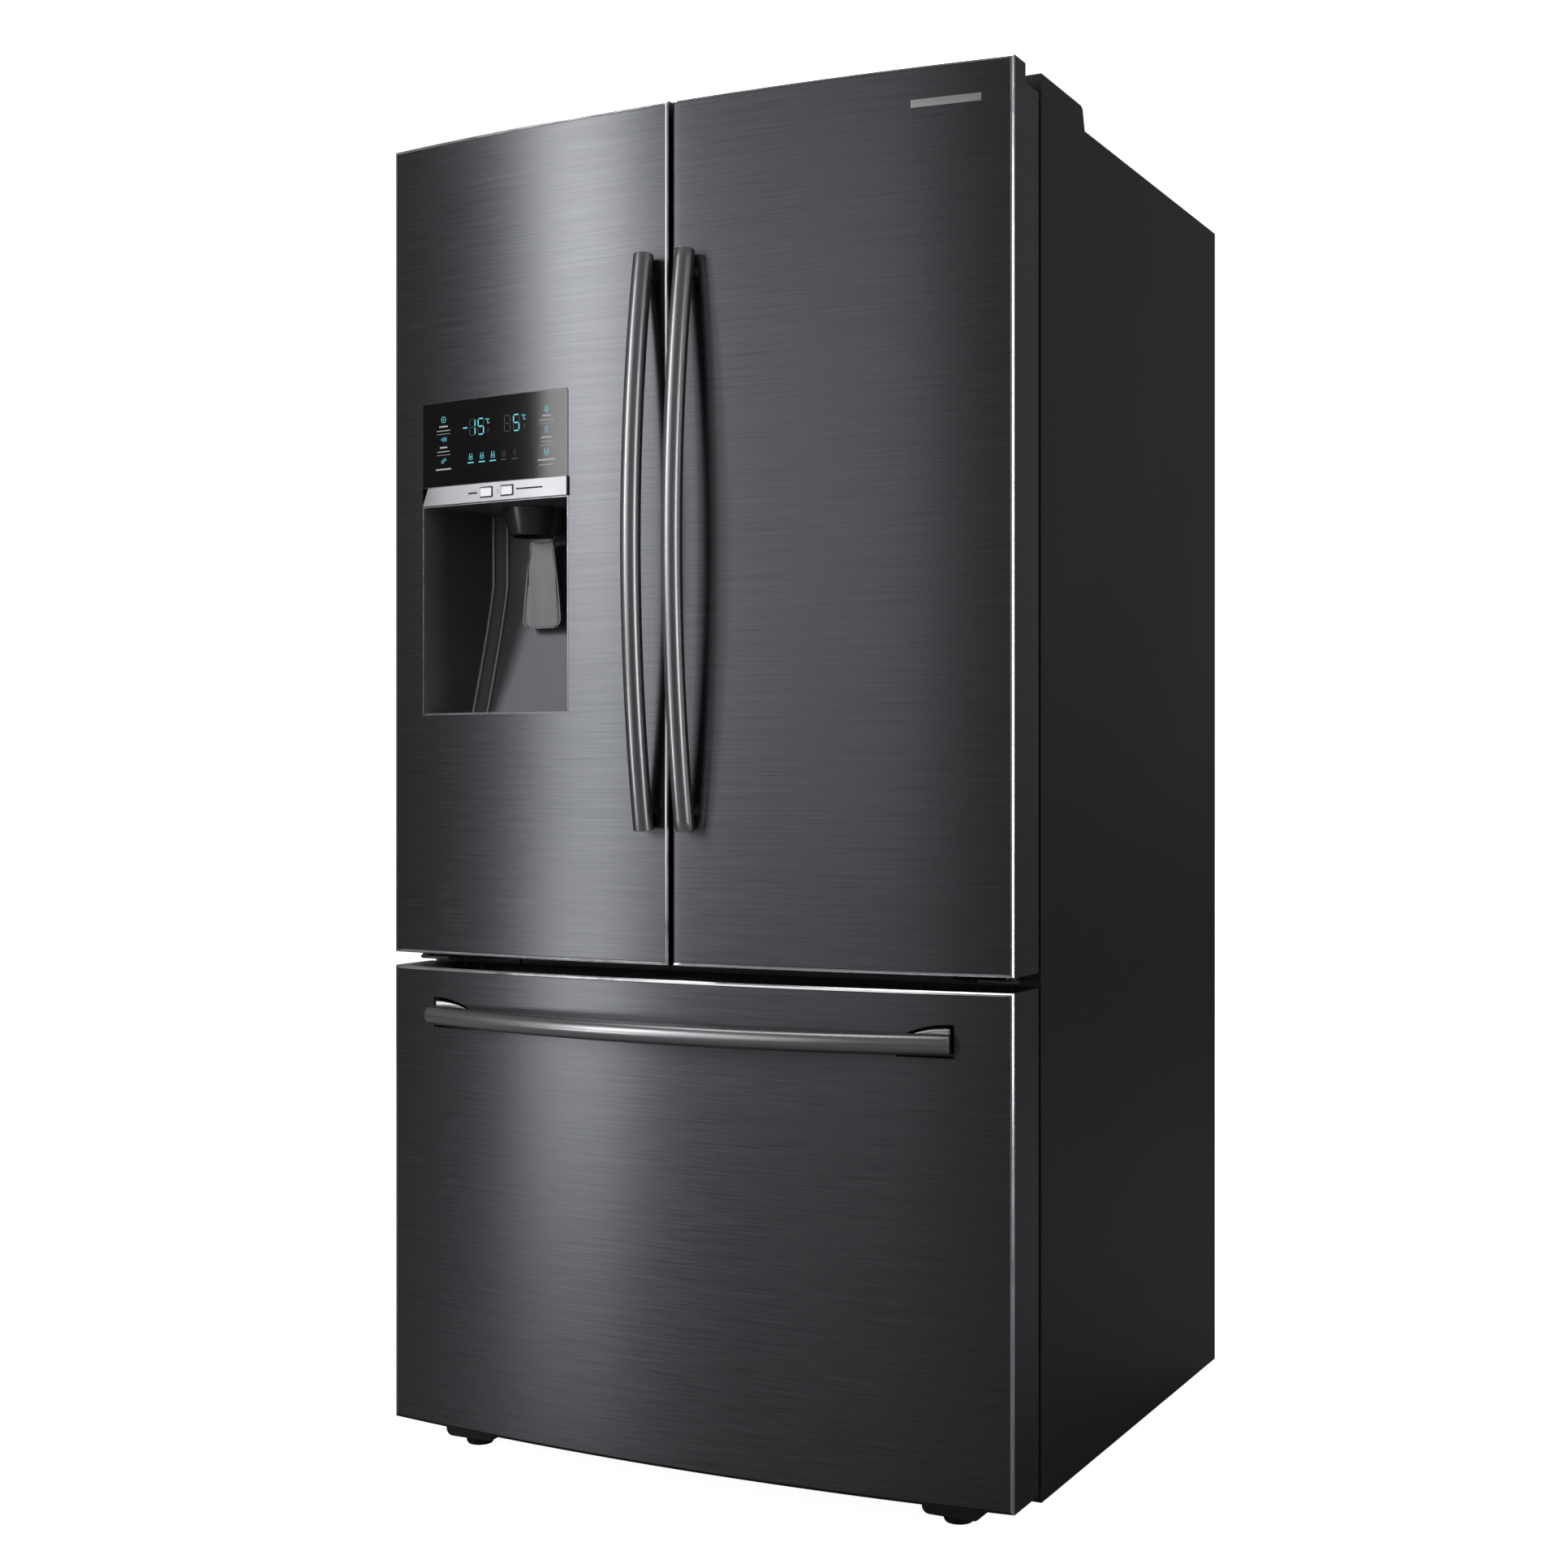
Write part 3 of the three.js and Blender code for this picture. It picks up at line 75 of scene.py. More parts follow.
soft_box("key_box", (-2.45, -3.45, 2.35), (0, -0.35, 1.2), (0.50, 2.1), 28)
soft_box("low_box", (-2.45, -3.45, 0.28), (0, -0.35, 0.6), (0.6, 0.5), 9)
soft_box("fill_box", (-1.35, -4.0, 1.8), (0, -0.35, 1.0), (1.9, 2.6), 13.5)
soft_box("right_box", (4.2, -1.6, 1.3), (0.4, -0.2, 0.9), (0.6, 2.8), 32)
soft_box("top_box", (-0.8, 0.2, 4.2), (0, 0, 1.0), (2.6, 2.0), 50)
soft_box("rear_box", (-1.5, 4.0, 2.4), (0, 0.4, 0.9), (2.5, 2.5), 30)


def add_node(tree, kind, values=None, **settings):
    """A new shader node with its settings, and the values that its inputs start from."""
    node = tree.nodes.new(kind)
    for key, value in settings.items():
        setattr(node, key, value)
    for key, value in (values or {}).items():
        node.inputs[key].default_value = value
    return node


def split_by_camera(tree, elsewhere, to_camera, end):
    """Shows one shader to the camera and another to every other ray."""
    mix = add_node(tree, "ShaderNodeMixShader")
    path = add_node(tree, "ShaderNodeLightPath")
    tree.links.new(path.outputs["Is Camera Ray"], mix.inputs["Fac"])
    tree.links.new(elsewhere.outputs[0], mix.inputs[1])
    tree.links.new(to_camera.outputs[0], mix.inputs[2])
    tree.links.new(mix.outputs[0], end.inputs["Surface"])


PAPER_WHITE = (1, 1, 1, 1)
SKY_TINT = (0.97, 0.98, 1, 1)
SKY_STRENGTH = 0.16
FLOOR_GLOW = 0.96

world = bpy.data.worlds.new("studio")
bpy.context.scene.world = world
world.use_nodes = True
sky = world.node_tree
sky.nodes.clear()
sky_out = add_node(sky, "ShaderNodeOutputWorld")
sky_seen = add_node(sky, "ShaderNodeBackground", {"Color": PAPER_WHITE, "Strength": 1.0})
sky_light = add_node(sky, "ShaderNodeBackground", {"Color": SKY_TINT, "Strength": SKY_STRENGTH})
split_by_camera(sky, sky_light, sky_seen, sky_out)

bpy.ops.mesh.primitive_plane_add(size=60, location=(0, 0, 0))
floor = bpy.context.object
floor.name = "floor"
floor_paint = bpy.data.materials.new("floor_paint")
floor_paint.use_nodes = True
paint = floor_paint.node_tree
seen = paint.nodes["Principled BSDF"]
seen.inputs["Base Color"].default_value = (0.9, 0.9, 0.9, 1)
seen.inputs["Roughness"].default_value = 0.6
seen.inputs["Emission Color"].default_value = PAPER_WHITE
seen.inputs["Emission Strength"].default_value = FLOOR_GLOW
reflected = add_node(paint, "ShaderNodeBsdfDiffuse", {"Color": (0.3, 0.3, 0.31, 1)})
split_by_camera(paint, reflected, seen, paint.nodes["Material Output"])
floor.data.materials.append(floor_paint)

# ---- Door and drawer skins ----
# Sheet steel pressed to one shallow bow over both doors and the drawer, folded back along all four
# sides, dark film-coated and brushed along its width. The fold is coloured bright silver as a painted
# highlight, and a thin ring just inside it is painted near-black as shade.
BOW_RISE = 0.030
SKIN_SIDE_DEPTH = 0.083
SKIN_EDGE = 0.0042
SKIN_SHEET = 0.0014
SKIN_SHADE_RING = 0.0008
SKIN_COLUMN = 0.015
SKIN_COLOR = (0.118, 0.121, 0.129)
EDGE_HIGHLIGHT_COLOR = (0.82, 0.83, 0.85)

left_low, left_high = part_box("left_door_skin")
right_low, right_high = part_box("right_door_skin")
drawer_low, drawer_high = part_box("drawer_skin")
half_width = drawer_high.x
panel_back = drawer_high.y
edge_front = panel_back - SKIN_SIDE_DEPTH
bow_radius = (half_width ** 2 + BOW_RISE ** 2) / (2 * BOW_RISE)


def bow_y(x, inset=0.0):
    """The Y of the bowed front at x, or of a surface the given distance behind it."""
    return edge_front - BOW_RISE + bow_radius - math.sqrt((bow_radius - inset) ** 2 - x * x)


def close_edit():
    bpy.ops.object.mode_set(mode="OBJECT")


def clear():
    if bpy.context.object and bpy.context.object.mode != "OBJECT":
        close_edit()
    bpy.ops.object.select_all(action="DESELECT")


def take(piece):
    """Makes one piece the only one selected, and the active one."""
    clear()
    bpy.context.view_layer.objects.active = piece
    piece.select_set(True)


def open_edit(piece):
    take(piece)
    bpy.ops.object.mode_set(mode="EDIT")


def settle():
    """Moves the active piece's place, turn and size into its mesh."""
    bpy.ops.object.transform_apply(location=True, rotation=True, scale=True)


def coat(piece, *looks):
    for look in looks:
        piece.data.materials.append(look.material)


def take_all():
    bpy.ops.mesh.select_all(action="SELECT")


def face_outwards():
    take_all()
    bpy.ops.mesh.normals_make_consistent(inside=False)


def start_cube(name, low, high):
    """A cube between two corners, its place kept in its mesh, left open in edit mode."""
    clear()
    middle = (Vector(low) + Vector(high)) / 2
    bpy.ops.mesh.primitive_cube_add(size=1, location=middle, scale=Vector(high) - Vector(low))
    piece = bpy.context.object
    piece.name = name
    settle()
    open_edit(piece)
    return piece


def pick(test, kind="VERT"):
    """Selects the vertices, edges or faces of the open mesh that pass a test."""
    bpy.ops.mesh.select_mode(type=kind)
    bpy.ops.mesh.select_all(action="DESELECT")
    mesh = bmesh.from_edit_mesh(bpy.context.object.data)
    for item in {"VERT": mesh.verts, "EDGE": mesh.edges, "FACE": mesh.faces}[kind]:
        item.select_set(bool(test(item)))
    mesh.select_flush_mode()
    bmesh.update_edit_mesh(bpy.context.object.data)


def shift(test, x=0, y=0, z=0):
    """Moves the vertices of the open mesh that pass a test."""
    pick(test)
    bpy.ops.transform.translate(value=(x, y, z))


def evenly(low, high, count):
    """The places that divide a length into equal parts, its two ends included."""
    return [low + (high - low) * i / count for i in range(count + 1)]


def run_of(edge):
    """The direction an edge runs in."""
    return (edge.verts[0].co - edge.verts[1].co).normalized()


def faces_front(face):
    return face.normal.y < -0.9


def slice_at(axis, places):
    """Cuts the whole open mesh with planes across one axis, keeping both sides."""
    normal = Vector((axis == "x", axis == "y", axis == "z"))
    for place in places:
        take_all()
        bpy.ops.mesh.bisect(plane_co=normal * place, plane_no=normal)


def middle_of(item):
    return sum((v.co for v in item.verts), Vector()) / len(item.verts)


def apply_modifiers(piece):
    take(piece)
    for modifier in list(piece.modifiers):
        bpy.ops.object.modifier_apply(modifier=modifier.name)


def finish_shape(piece, angle=30):
    """Closes a piece, and shades it smooth up to an angle with its broad faces kept flat."""
    take(piece)
    bpy.ops.object.shade_smooth_by_angle(angle=math.radians(angle))
    weighted = piece.modifiers.new("weighted", "WEIGHTED_NORMAL")
    weighted.keep_sharp = True
    bpy.ops.object.modifier_apply(modifier=weighted.name)
    clear()


def node_group(name, inputs, outputs):
    """An empty shader group with named sockets: (name, kind, start value)."""
    group = bpy.data.node_groups.new(name, "ShaderNodeTree")
    for label, kind, value in inputs:
        socket = group.interface.new_socket(name=label, in_out="INPUT", socket_type=kind)
        if value is not None:
            socket.default_value = value
    for label, kind in outputs:
        group.interface.new_socket(name=label, in_out="OUTPUT", socket_type=kind)
    return group, group.nodes.new("NodeGroupInput"), group.nodes.new("NodeGroupOutput")


def make_brush_grain():
    """Long streaks across a vector that the material has already stretched along the grain."""
    group, entry, leave = node_group(
        "brush_grain",
        [("Vector", "NodeSocketVector", None), ("Coarse", "NodeSocketFloat", 90.0),
         ("Fine", "NodeSocketFloat", 420.0)],
        [("Streaks", "NodeSocketFloat"), ("Lines", "NodeSocketFloat"), ("Height", "NodeSocketFloat")])
    made = []
    for scale, detail, rough in (("Coarse", 5, 0.62), ("Fine", 3, 0.55)):
        noise = add_node(group, "ShaderNodeTexNoise", {"Detail": detail, "Roughness": rough})
        group.links.new(entry.outputs["Vector"], noise.inputs["Vector"])
        group.links.new(entry.outputs[scale], noise.inputs["Scale"])
        spread = add_node(group, "ShaderNodeMapRange", {"From Min": 0.32, "From Max": 0.68})
        group.links.new(noise.outputs["Fac"], spread.inputs["Value"])
        made.append(spread.outputs["Result"])
    blend = add_node(group, "ShaderNodeMix", {"Factor": 0.5})
    group.links.new(made[0], blend.inputs["A"])
    group.links.new(made[1], blend.inputs["B"])
    group.links.new(made[0], leave.inputs["Streaks"])
    group.links.new(made[1], leave.inputs["Lines"])
    group.links.new(blend.outputs[0], leave.inputs["Height"])
    return group


def make_soft_patches():
    """Broad, faint unevenness in sheen, as handling and wiping leave on any finish."""
    group, entry, leave = node_group(
        "soft_patches",
        [("Vector", "NodeSocketVector", None), ("Size", "NodeSocketFloat", 4.0),
         ("Low", "NodeSocketFloat", 0.3), ("High", "NodeSocketFloat", 0.4)],
        [("Value", "NodeSocketFloat"), ("Mask", "NodeSocketFloat")])
    noise = add_node(group, "ShaderNodeTexNoise", {"Detail": 4, "Roughness": 0.6})
    spread = add_node(group, "ShaderNodeMapRange", {"From Min": 0.3, "From Max": 0.7})
    group.links.new(entry.outputs["Vector"], noise.inputs["Vector"])
    group.links.new(entry.outputs["Size"], noise.inputs["Scale"])
    group.links.new(noise.outputs["Fac"], spread.inputs["Value"])
    group.links.new(entry.outputs["Low"], spread.inputs["To Min"])
    group.links.new(entry.outputs["High"], spread.inputs["To Max"])
    group.links.new(spread.outputs["Result"], leave.inputs["Value"])
    group.links.new(noise.outputs["Fac"], leave.inputs["Mask"])
    return group


BRUSH_GRAIN = make_brush_grain()
SOFT_PATCHES = make_soft_patches()


class Look:
    """A new material with its shader at hand, and short ways to add and join nodes."""

    def __init__(self, name, color, metallic=0.0, roughness=0.5):
        self.material = bpy.data.materials.new(name)
        self.material.use_nodes = True
        self.tree = self.material.node_tree
        self.shader = self.tree.nodes["Principled BSDF"]
        self.shader.inputs["Base Color"].default_value = (*color, 1)
        self.shader.inputs["Metallic"].default_value = metallic
        self.shader.inputs["Roughness"].default_value = roughness
        self.coords = self.add("ShaderNodeTexCoord").outputs["Object"]

    def add(self, kind, values=None, **settings):
        return add_node(self.tree, kind, values, **settings)

    def join(self, start, end):
        self.tree.links.new(start, end)

    def group(self, group, vector=None, **values):
        node = self.add("ShaderNodeGroup", values, node_tree=group)
        self.join(vector or self.coords, node.inputs["Vector"])
        return node

    def stretched(self, scale):
        node = self.add("ShaderNodeMapping", {"Scale": scale})
        self.join(self.coords, node.inputs["Vector"])
        return node.outputs["Vector"]

    def shades(self, mask, dark, light, socket="Base Color"):
        """Base colour, or another colour of the shader, between two colours by a mask."""
        ramp = self.add("ShaderNodeMix", {"A": (*dark, 1), "B": (*light, 1)}, data_type="RGBA")
        self.join(mask, ramp.inputs["Factor"])
        self.join(ramp.outputs["Result"], self.shader.inputs[socket])

    def worn(self, size, low, high, dark=None, light=None):
        """Roughness in soft patches, and the base colour with it when two colours are given."""
        patches = self.group(SOFT_PATCHES, Size=size, Low=low, High=high)
        self.join(patches.outputs["Value"], self.shader.inputs["Roughness"])
        if dark:
            self.shades(patches.outputs["Mask"], dark, light)
        return patches

    def bump(self, height, distance, strength=1.0):
        node = self.add("ShaderNodeBump", {"Distance": distance, "Strength": strength})
        self.join(height, node.inputs["Height"])
        self.join(node.outputs["Normal"], self.shader.inputs["Normal"])

    def range(self, value, low, high):
        node = self.add("ShaderNodeMapRange", {"To Min": low, "To Max": high})
        self.join(value, node.inputs["Value"])
        return node.outputs["Result"]

    def brushed(self, scale, coarse, fine, color, spread, rough=None):
        """Streaks along one way in the base colour and, when two values are given, in the roughness."""
        grain = self.group(BRUSH_GRAIN, self.stretched(scale), Coarse=coarse, Fine=fine)
        self.shades(grain.outputs["Height"], scaled(color, 1 - spread), scaled(color, 1 + spread))
        if rough:
            self.join(self.range(grain.outputs["Lines"], *rough), self.shader.inputs["Roughness"])
        return grain


def scaled(color, amount):
    return tuple(c * amount for c in color)


skin_steel = Look("brushed_dark_steel", SKIN_COLOR, 1.0, 0.36)
grain = skin_steel.brushed((0.012, 0.012, 1), 420, 1300, SKIN_COLOR, 0.22, (0.28, 0.34))
skin_steel.bump(grain.outputs["Height"], 0.00001, 0.4)
skin_steel.shader.inputs["Anisotropic"].default_value = 0.8
skin_steel.shader.inputs["Anisotropic Rotation"].default_value = 0.25
radial = skin_steel.add("ShaderNodeTangent", direction_type="RADIAL", axis="Z")
skin_steel.join(radial.outputs["Tangent"], skin_steel.shader.inputs["Tangent"])

# The fold is the same steel as the skin: its bright silver colour is a painted highlight on the rounding.
painted_edge_highlight = Look("painted_edge_highlight", EDGE_HIGHLIGHT_COLOR, 1.0, 0.16)
painted_edge_highlight.worn(30, 0.12, 0.24, scaled(EDGE_HIGHLIGHT_COLOR, 0.9), EDGE_HIGHLIGHT_COLOR)

# Near-black for printed strokes, and as painted shade on the thin ring inside each skin's edge and on the
# walls and outlines of the key holes.
print_and_shade_black = Look("print_and_shade_black", (0.010, 0.010, 0.011), 0.4, 0.45)
print_and_shade_black.worn(60, 0.38, 0.55, (0.006, 0.006, 0.007), (0.014, 0.014, 0.016))


def panel_skin(name, low, high, unhighlighted_side=None):
    """One closed panel with its bowed front, its front edge coloured as a painted highlight (but for a side
    left in skin colour) and a thin ring of painted shade inside it.
    """
    piece = start_cube(name, (low.x, edge_front, low.z), (high.x, panel_back, high.z))
    columns = evenly(low.x, high.x, round((high.x - low.x) / SKIN_COLUMN))
    slice_at("x", columns[1:-1])
    for x in columns:
        shift(lambda v: abs(v.co.x - x) < 1e-4 and v.co.y < panel_back - 0.01, y=bow_y(x) - edge_front)
    coat(piece, skin_steel, painted_edge_highlight, print_and_shade_black)

    def on_rim(edge):
        sides = sorted(abs(f.normal.y) > 0.9 for f in edge.link_faces)
        return sides == [False, True] and middle_of(edge).y < panel_back - 0.01

    pick(on_rim, "EDGE")
    bpy.ops.mesh.bevel(offset=SKIN_EDGE, segments=3, profile=0.6, material=1)
    if unhighlighted_side:
        pick(lambda f: f.material_index == 1 and unhighlighted_side(f), "FACE")
        bpy.context.object.active_material_index = 0
        bpy.ops.object.material_slot_assign()
    # A thin flat ring just inside the edge is coloured near-black: painted shade, not a cut groove.
    pick(lambda f: faces_front(f) and f.material_index == 0, "FACE")
    bpy.ops.mesh.inset(thickness=SKIN_SHADE_RING, depth=0)
    pick(lambda f: faces_front(f) and f.material_index == 0 and near_rim(f, low, high), "FACE")
    bpy.context.object.active_material_index = 2
    bpy.ops.object.material_slot_assign()
    close_edit()
    return piece


def near_rim(face, low, high):
    """True for the thin ring of faces just inside the edge highlight, which is painted near-black as shade.
    """
    place = middle_of(face)
    reach = SKIN_EDGE + 0.9 * SKIN_SHADE_RING
    return min(place.x - low.x, high.x - place.x, place.z - low.z, high.z - place.z) < reach


def cut_out(piece, *cutters):
    """Takes the shape of each cutter out of the piece, and removes the cutters."""
    for cutter in cutters:
        take(piece)
        cutting = piece.modifiers.new("cut", "BOOLEAN")
        cutting.operation = "DIFFERENCE"
        cutting.solver = "EXACT"
        cutting.object = cutter
        bpy.ops.object.modifier_apply(modifier=cutting.name)
        bpy.data.objects.remove(cutter, do_unlink=True)


def fold_sheet(piece, inner_test=None):
    """Opens the back of a closed panel, drops the faces a test names, and gives the sheet its thickness."""
    open_edit(piece)
    pick(lambda f: f.normal.y > 0.9 and middle_of(f).y > panel_back - 0.001, "FACE")
    bpy.ops.mesh.delete(type="FACE")
    if inner_test:
        pick(inner_test, "FACE")
        bpy.ops.mesh.delete(type="FACE")
    close_edit()
    sheet = piece.modifiers.new("sheet", "SOLIDIFY")
    sheet.thickness = SKIN_SHEET
    sheet.offset = -1
    apply_modifiers(piece)
    finish_shape(piece)


def upright_cutter(name, low, high, radius):
    """A box whose four edges along Y are rounded, for cutting a hole in a front."""
    cutter = start_cube(name, low, high)
    pick(lambda e: abs(run_of(e).y) > 0.9, "EDGE")
    bpy.ops.mesh.bevel(offset=radius, segments=5)
    close_edit()
    return cutter


# The top outer corner of each door is notched for the hinge lobe, from the bow's edge back.
NOTCH_DEPTH = 0.023
NOTCH_WIDTH = 0.130
NOTCH_SETBACK = 0.039


def notch_cutter(side):
    inner, outer = half_width - NOTCH_WIDTH, half_width + 0.02
    spans = sorted((side * inner, side * outer))
    return upright_cutter(
        "notch", (spans[0], edge_front + NOTCH_SETBACK, left_high.z - NOTCH_DEPTH),
        (spans[1], panel_back + 0.05, left_high.z + 0.05), 0.003)


# The drawer's lower edge keeps the skin's colour, without the painted highlight, where it shows dark.
drawer_skin = panel_skin("drawer_skin_fine", drawer_low, drawer_high,
                         lambda f: middle_of(f).z < drawer_low.z + SKIN_EDGE)

# Two wing-shaped pockets are let into the drawer front behind the ends of its handle.
handle_low, handle_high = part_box("drawer_handle")
POCKET_LENGTH = 0.074
POCKET_HEIGHT = 0.041
POCKET_DROP = 0.0175
POCKET_DEPTH = 0.020
pocket_floor = bow_y(handle_high.x) + POCKET_DEPTH
handle_z = (handle_low.z + handle_high.z) / 2


def wing_block(name, side, shrink, front, back):
    """The wing outline as a solid: upright at its outer end, its top falling in a curve to its inner end."""
    outer = handle_high.x + 0.002 - shrink
    inner = outer - POCKET_LENGTH + 2 * shrink
    low = handle_z - POCKET_DROP + shrink
    top = low + POCKET_HEIGHT - 2 * shrink
    block = start_cube(name, (inner, front, low), (outer, back, top))
    steps = 10
    columns = evenly(inner, outer, steps)
    slice_at("x", columns[1:-1])
    for i, x in enumerate(columns):
        fall = (top - low) * 0.45 * (1 - i / steps) ** 2.2
        shift(lambda v: abs(v.co.x - x) < 1e-5 and v.co.z > low + 0.001, z=-fall)
    if side < 0:
        take_all()
        bpy.ops.transform.resize(value=(-1, 1, 1), center_override=(0, 0, 0))
        face_outwards()
    close_edit()
    return block


cut_out(drawer_skin, *[wing_block("pocket", side, 0, edge_front - 0.05, pocket_floor) for side in (-1, 1)])
fold_sheet(drawer_skin)
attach(drawer_skin, "freezer_drawer")
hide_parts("drawer_skin")

# The right door's edge at the gap keeps the skin's colour, without the painted highlight, where it shows
# dark.
right_skin = panel_skin("right_door_skin_fine", right_low, right_high,
                        lambda f: middle_of(f).x < right_low.x + SKIN_EDGE)
cut_out(right_skin, notch_cutter(1))
fold_sheet(right_skin)
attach(right_skin, "right_door")
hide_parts("right_door_skin")

left_skin = panel_skin("left_door_skin_fine", left_low, left_high)
housing_low, housing_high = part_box("dispenser_housing")
screen_low, screen_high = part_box("control_panel")
WINDOW_CORNER = 0.004
WINDOW_GAP = 0.0003
window_low = Vector((screen_low.x - WINDOW_GAP, edge_front - 0.05, housing_low.z + 0.001))
window_high = Vector((screen_high.x + WINDOW_GAP, panel_back + 0.01, screen_high.z + WINDOW_GAP))


def in_window(face):
    """True for the cut's own walls, which the dispenser's housing stands in for."""
    place = middle_of(face)
    return (abs(face.normal.y) < 0.7 and window_low.x - 1e-4 < place.x < window_high.x + 1e-4
            and window_low.z - 1e-4 < place.z < window_high.z + 1e-4)


cut_out(left_skin, notch_cutter(-1), upright_cutter("window", window_low, window_high, WINDOW_CORNER))
fold_sheet(left_skin, in_window)
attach(left_skin, "left_door")
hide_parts("left_door_skin")

# ---- Handles ----
# Bowed round tubes of dark satin metal with a bright turned ring at each end. The door handles stand
# upright on two short posts; the drawer handle ends in wings that sit in the front's two pockets.
TUBE_RADIUS = 0.013
POST_RADIUS = 0.008
HANDLE_COLOR = (0.40, 0.39, 0.405)

handle_metal = Look("dark_titanium", HANDLE_COLOR, 1.0, 0.30)
handle_metal.brushed((1, 1, 0.02), 300, 900, HANDLE_COLOR, 0.04)
handle_metal.worn(6, 0.28, 0.32)

ring_metal = Look("turned_ring", (0.62, 0.62, 0.64), 1.0, 0.2)
ring_metal.worn(200, 0.14, 0.26, (0.5, 0.5, 0.52), (0.68, 0.68, 0.70))


def bowed_tube(name, end, rise, axis, start_turn):
    """A tube swept round an arc from one end: the arc's chord is twice the end's reach, its rise given."""
    clear()
    middle, reach = end
    radius = (reach ** 2 + rise ** 2) / (2 * rise)
    centre = Vector(middle) + Vector((0, radius, 0))
    half_angle = math.asin(reach / radius)
    bpy.ops.mesh.primitive_circle_add(vertices=48, radius=TUBE_RADIUS, location=middle, rotation=start_turn)
    tube = bpy.context.object
    tube.name = name
    settle()
    open_edit(tube)
    take_all()
    bpy.ops.transform.rotate(value=-half_angle, orient_axis=axis.upper(), center_override=centre)
    turn = Vector((axis == "x", 0, axis == "z"))
    bpy.ops.mesh.spin(steps=56, angle=2 * half_angle, center=centre, axis=turn)
    return tube


def close_tube_ends(tube, far):
    """Caps both ends: a narrow chamfer in bright metal, then a flat cap with a shallow turned step."""
    take_all()
    bpy.ops.mesh.remove_doubles(threshold=1e-6)
    bpy.ops.mesh.select_all(action="DESELECT")
    bpy.ops.mesh.select_mode(type="EDGE")
    bpy.ops.mesh.select_non_manifold(extend=False)
    bpy.ops.mesh.edge_face_add()
    face_outwards()
    coat(tube, handle_metal, ring_metal)
    pick(lambda f: len(f.verts) > 10 and far(middle_of(f)), "FACE")
    bpy.ops.mesh.bevel(offset=0.0012, segments=2, material=1)
    pick(lambda f: len(f.verts) > 10 and far(middle_of(f)), "FACE")
    bpy.ops.mesh.inset(thickness=0.0016)
    bpy.ops.mesh.inset(thickness=0.0004, depth=-0.0006)
    bpy.ops.mesh.inset(thickness=0.004)


tube_low, tube_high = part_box("left_handle")
door_handle_x = (tube_low.x + tube_high.x) / 2
door_face = bow_y(door_handle_x)
POST_INSET = 0.024
HANDLE_CLEARANCE = 0.0015
tube_middle_z = (tube_low.z + tube_high.z) / 2
tube_reach = (tube_high.z - tube_low.z) / 2 - 0.0002
tube_front = tube_low.y + TUBE_RADIUS
tube_end_y = door_face - TUBE_RADIUS - HANDLE_CLEARANCE

left_handle = bowed_tube("left_handle_fine", ((door_handle_x, tube_front, tube_middle_z), tube_reach),
                         tube_end_y - tube_front, "x", (0, 0, 0))
close_tube_ends(left_handle, lambda p: abs(p.z - tube_middle_z) > tube_reach * 0.9)


def add_post(place, radius, length):
    """A short round post along Y with eased ends, added to the open mesh."""
    bpy.ops.mesh.select_all(action="DESELECT")
    bpy.ops.mesh.primitive_cylinder_add(vertices=24, radius=radius, depth=length, location=place,
                                        rotation=(math.pi / 2, 0, 0))
    bpy.ops.mesh.bevel(offset=0.0008, segments=2)


for z in (tube_low.z + POST_INSET, tube_high.z - POST_INSET):
    add_post((door_handle_x, (tube_end_y + door_face) / 2 - 0.0006, z), POST_RADIUS, door_face - tube_end_y)
finish_shape(left_handle)
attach(left_handle, "left_door")
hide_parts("left_handle")


def twin_of(piece, name):
    """A copy of a piece with its own mesh, left as the only one selected."""
    twin = piece.copy()
    twin.data = piece.data.copy()
    twin.name = name
    bpy.context.collection.objects.link(twin)
    take(twin)
    return twin


def mirrored_copy(piece, name):
    """The same piece on the other side of the middle, its faces outwards."""
    twin = twin_of(piece, name)
    twin.scale.x = -1
    settle()
    open_edit(twin)
    face_outwards()
    close_edit()
    clear()
    return twin


right_handle = mirrored_copy(left_handle, "right_handle_fine")
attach(right_handle, "right_door")
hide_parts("right_handle")

END_STANDOFF = 0.008
bar_front = handle_low.y + TUBE_RADIUS
bar_end_y = bow_y(handle_high.x) - END_STANDOFF
drawer_handle = bowed_tube("drawer_handle_fine", ((0, bar_front, handle_z), handle_high.x - 0.0004),
                           bar_end_y - bar_front, "z", (0, math.pi / 2, 0))
close_tube_ends(drawer_handle, lambda p: abs(p.x) > handle_high.x * 0.9)
finish_shape(drawer_handle)
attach(drawer_handle, "drawer_handle")
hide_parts("drawer_handle")


def round_edges(piece, width, segments, angle=30):
    """Adds a rounding of every edge sharper than an angle."""
    rounding = piece.modifiers.new("rounding", "BEVEL")
    rounding.width, rounding.segments = width, segments
    rounding.limit_method, rounding.angle_limit = "ANGLE", math.radians(angle)


# A cast wing behind each end joins the tube to the pivot inside its pocket.
WING_SHRINK = 0.005
WING_FRONT = 0.004
WING_BACK = 0.013
for side, label in ((-1, "left"), (1, "right")):
    wing = wing_block(f"{label}_wing", side, WING_SHRINK, bar_end_y + WING_FRONT,
                      bow_y(handle_high.x) + WING_BACK)
    coat(wing, handle_metal)
    round_edges(wing, 0.0015, 3, 40)
    apply_modifiers(wing)
    finish_shape(wing)
    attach(wing, "drawer_handle")
    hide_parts("drawer_handle")

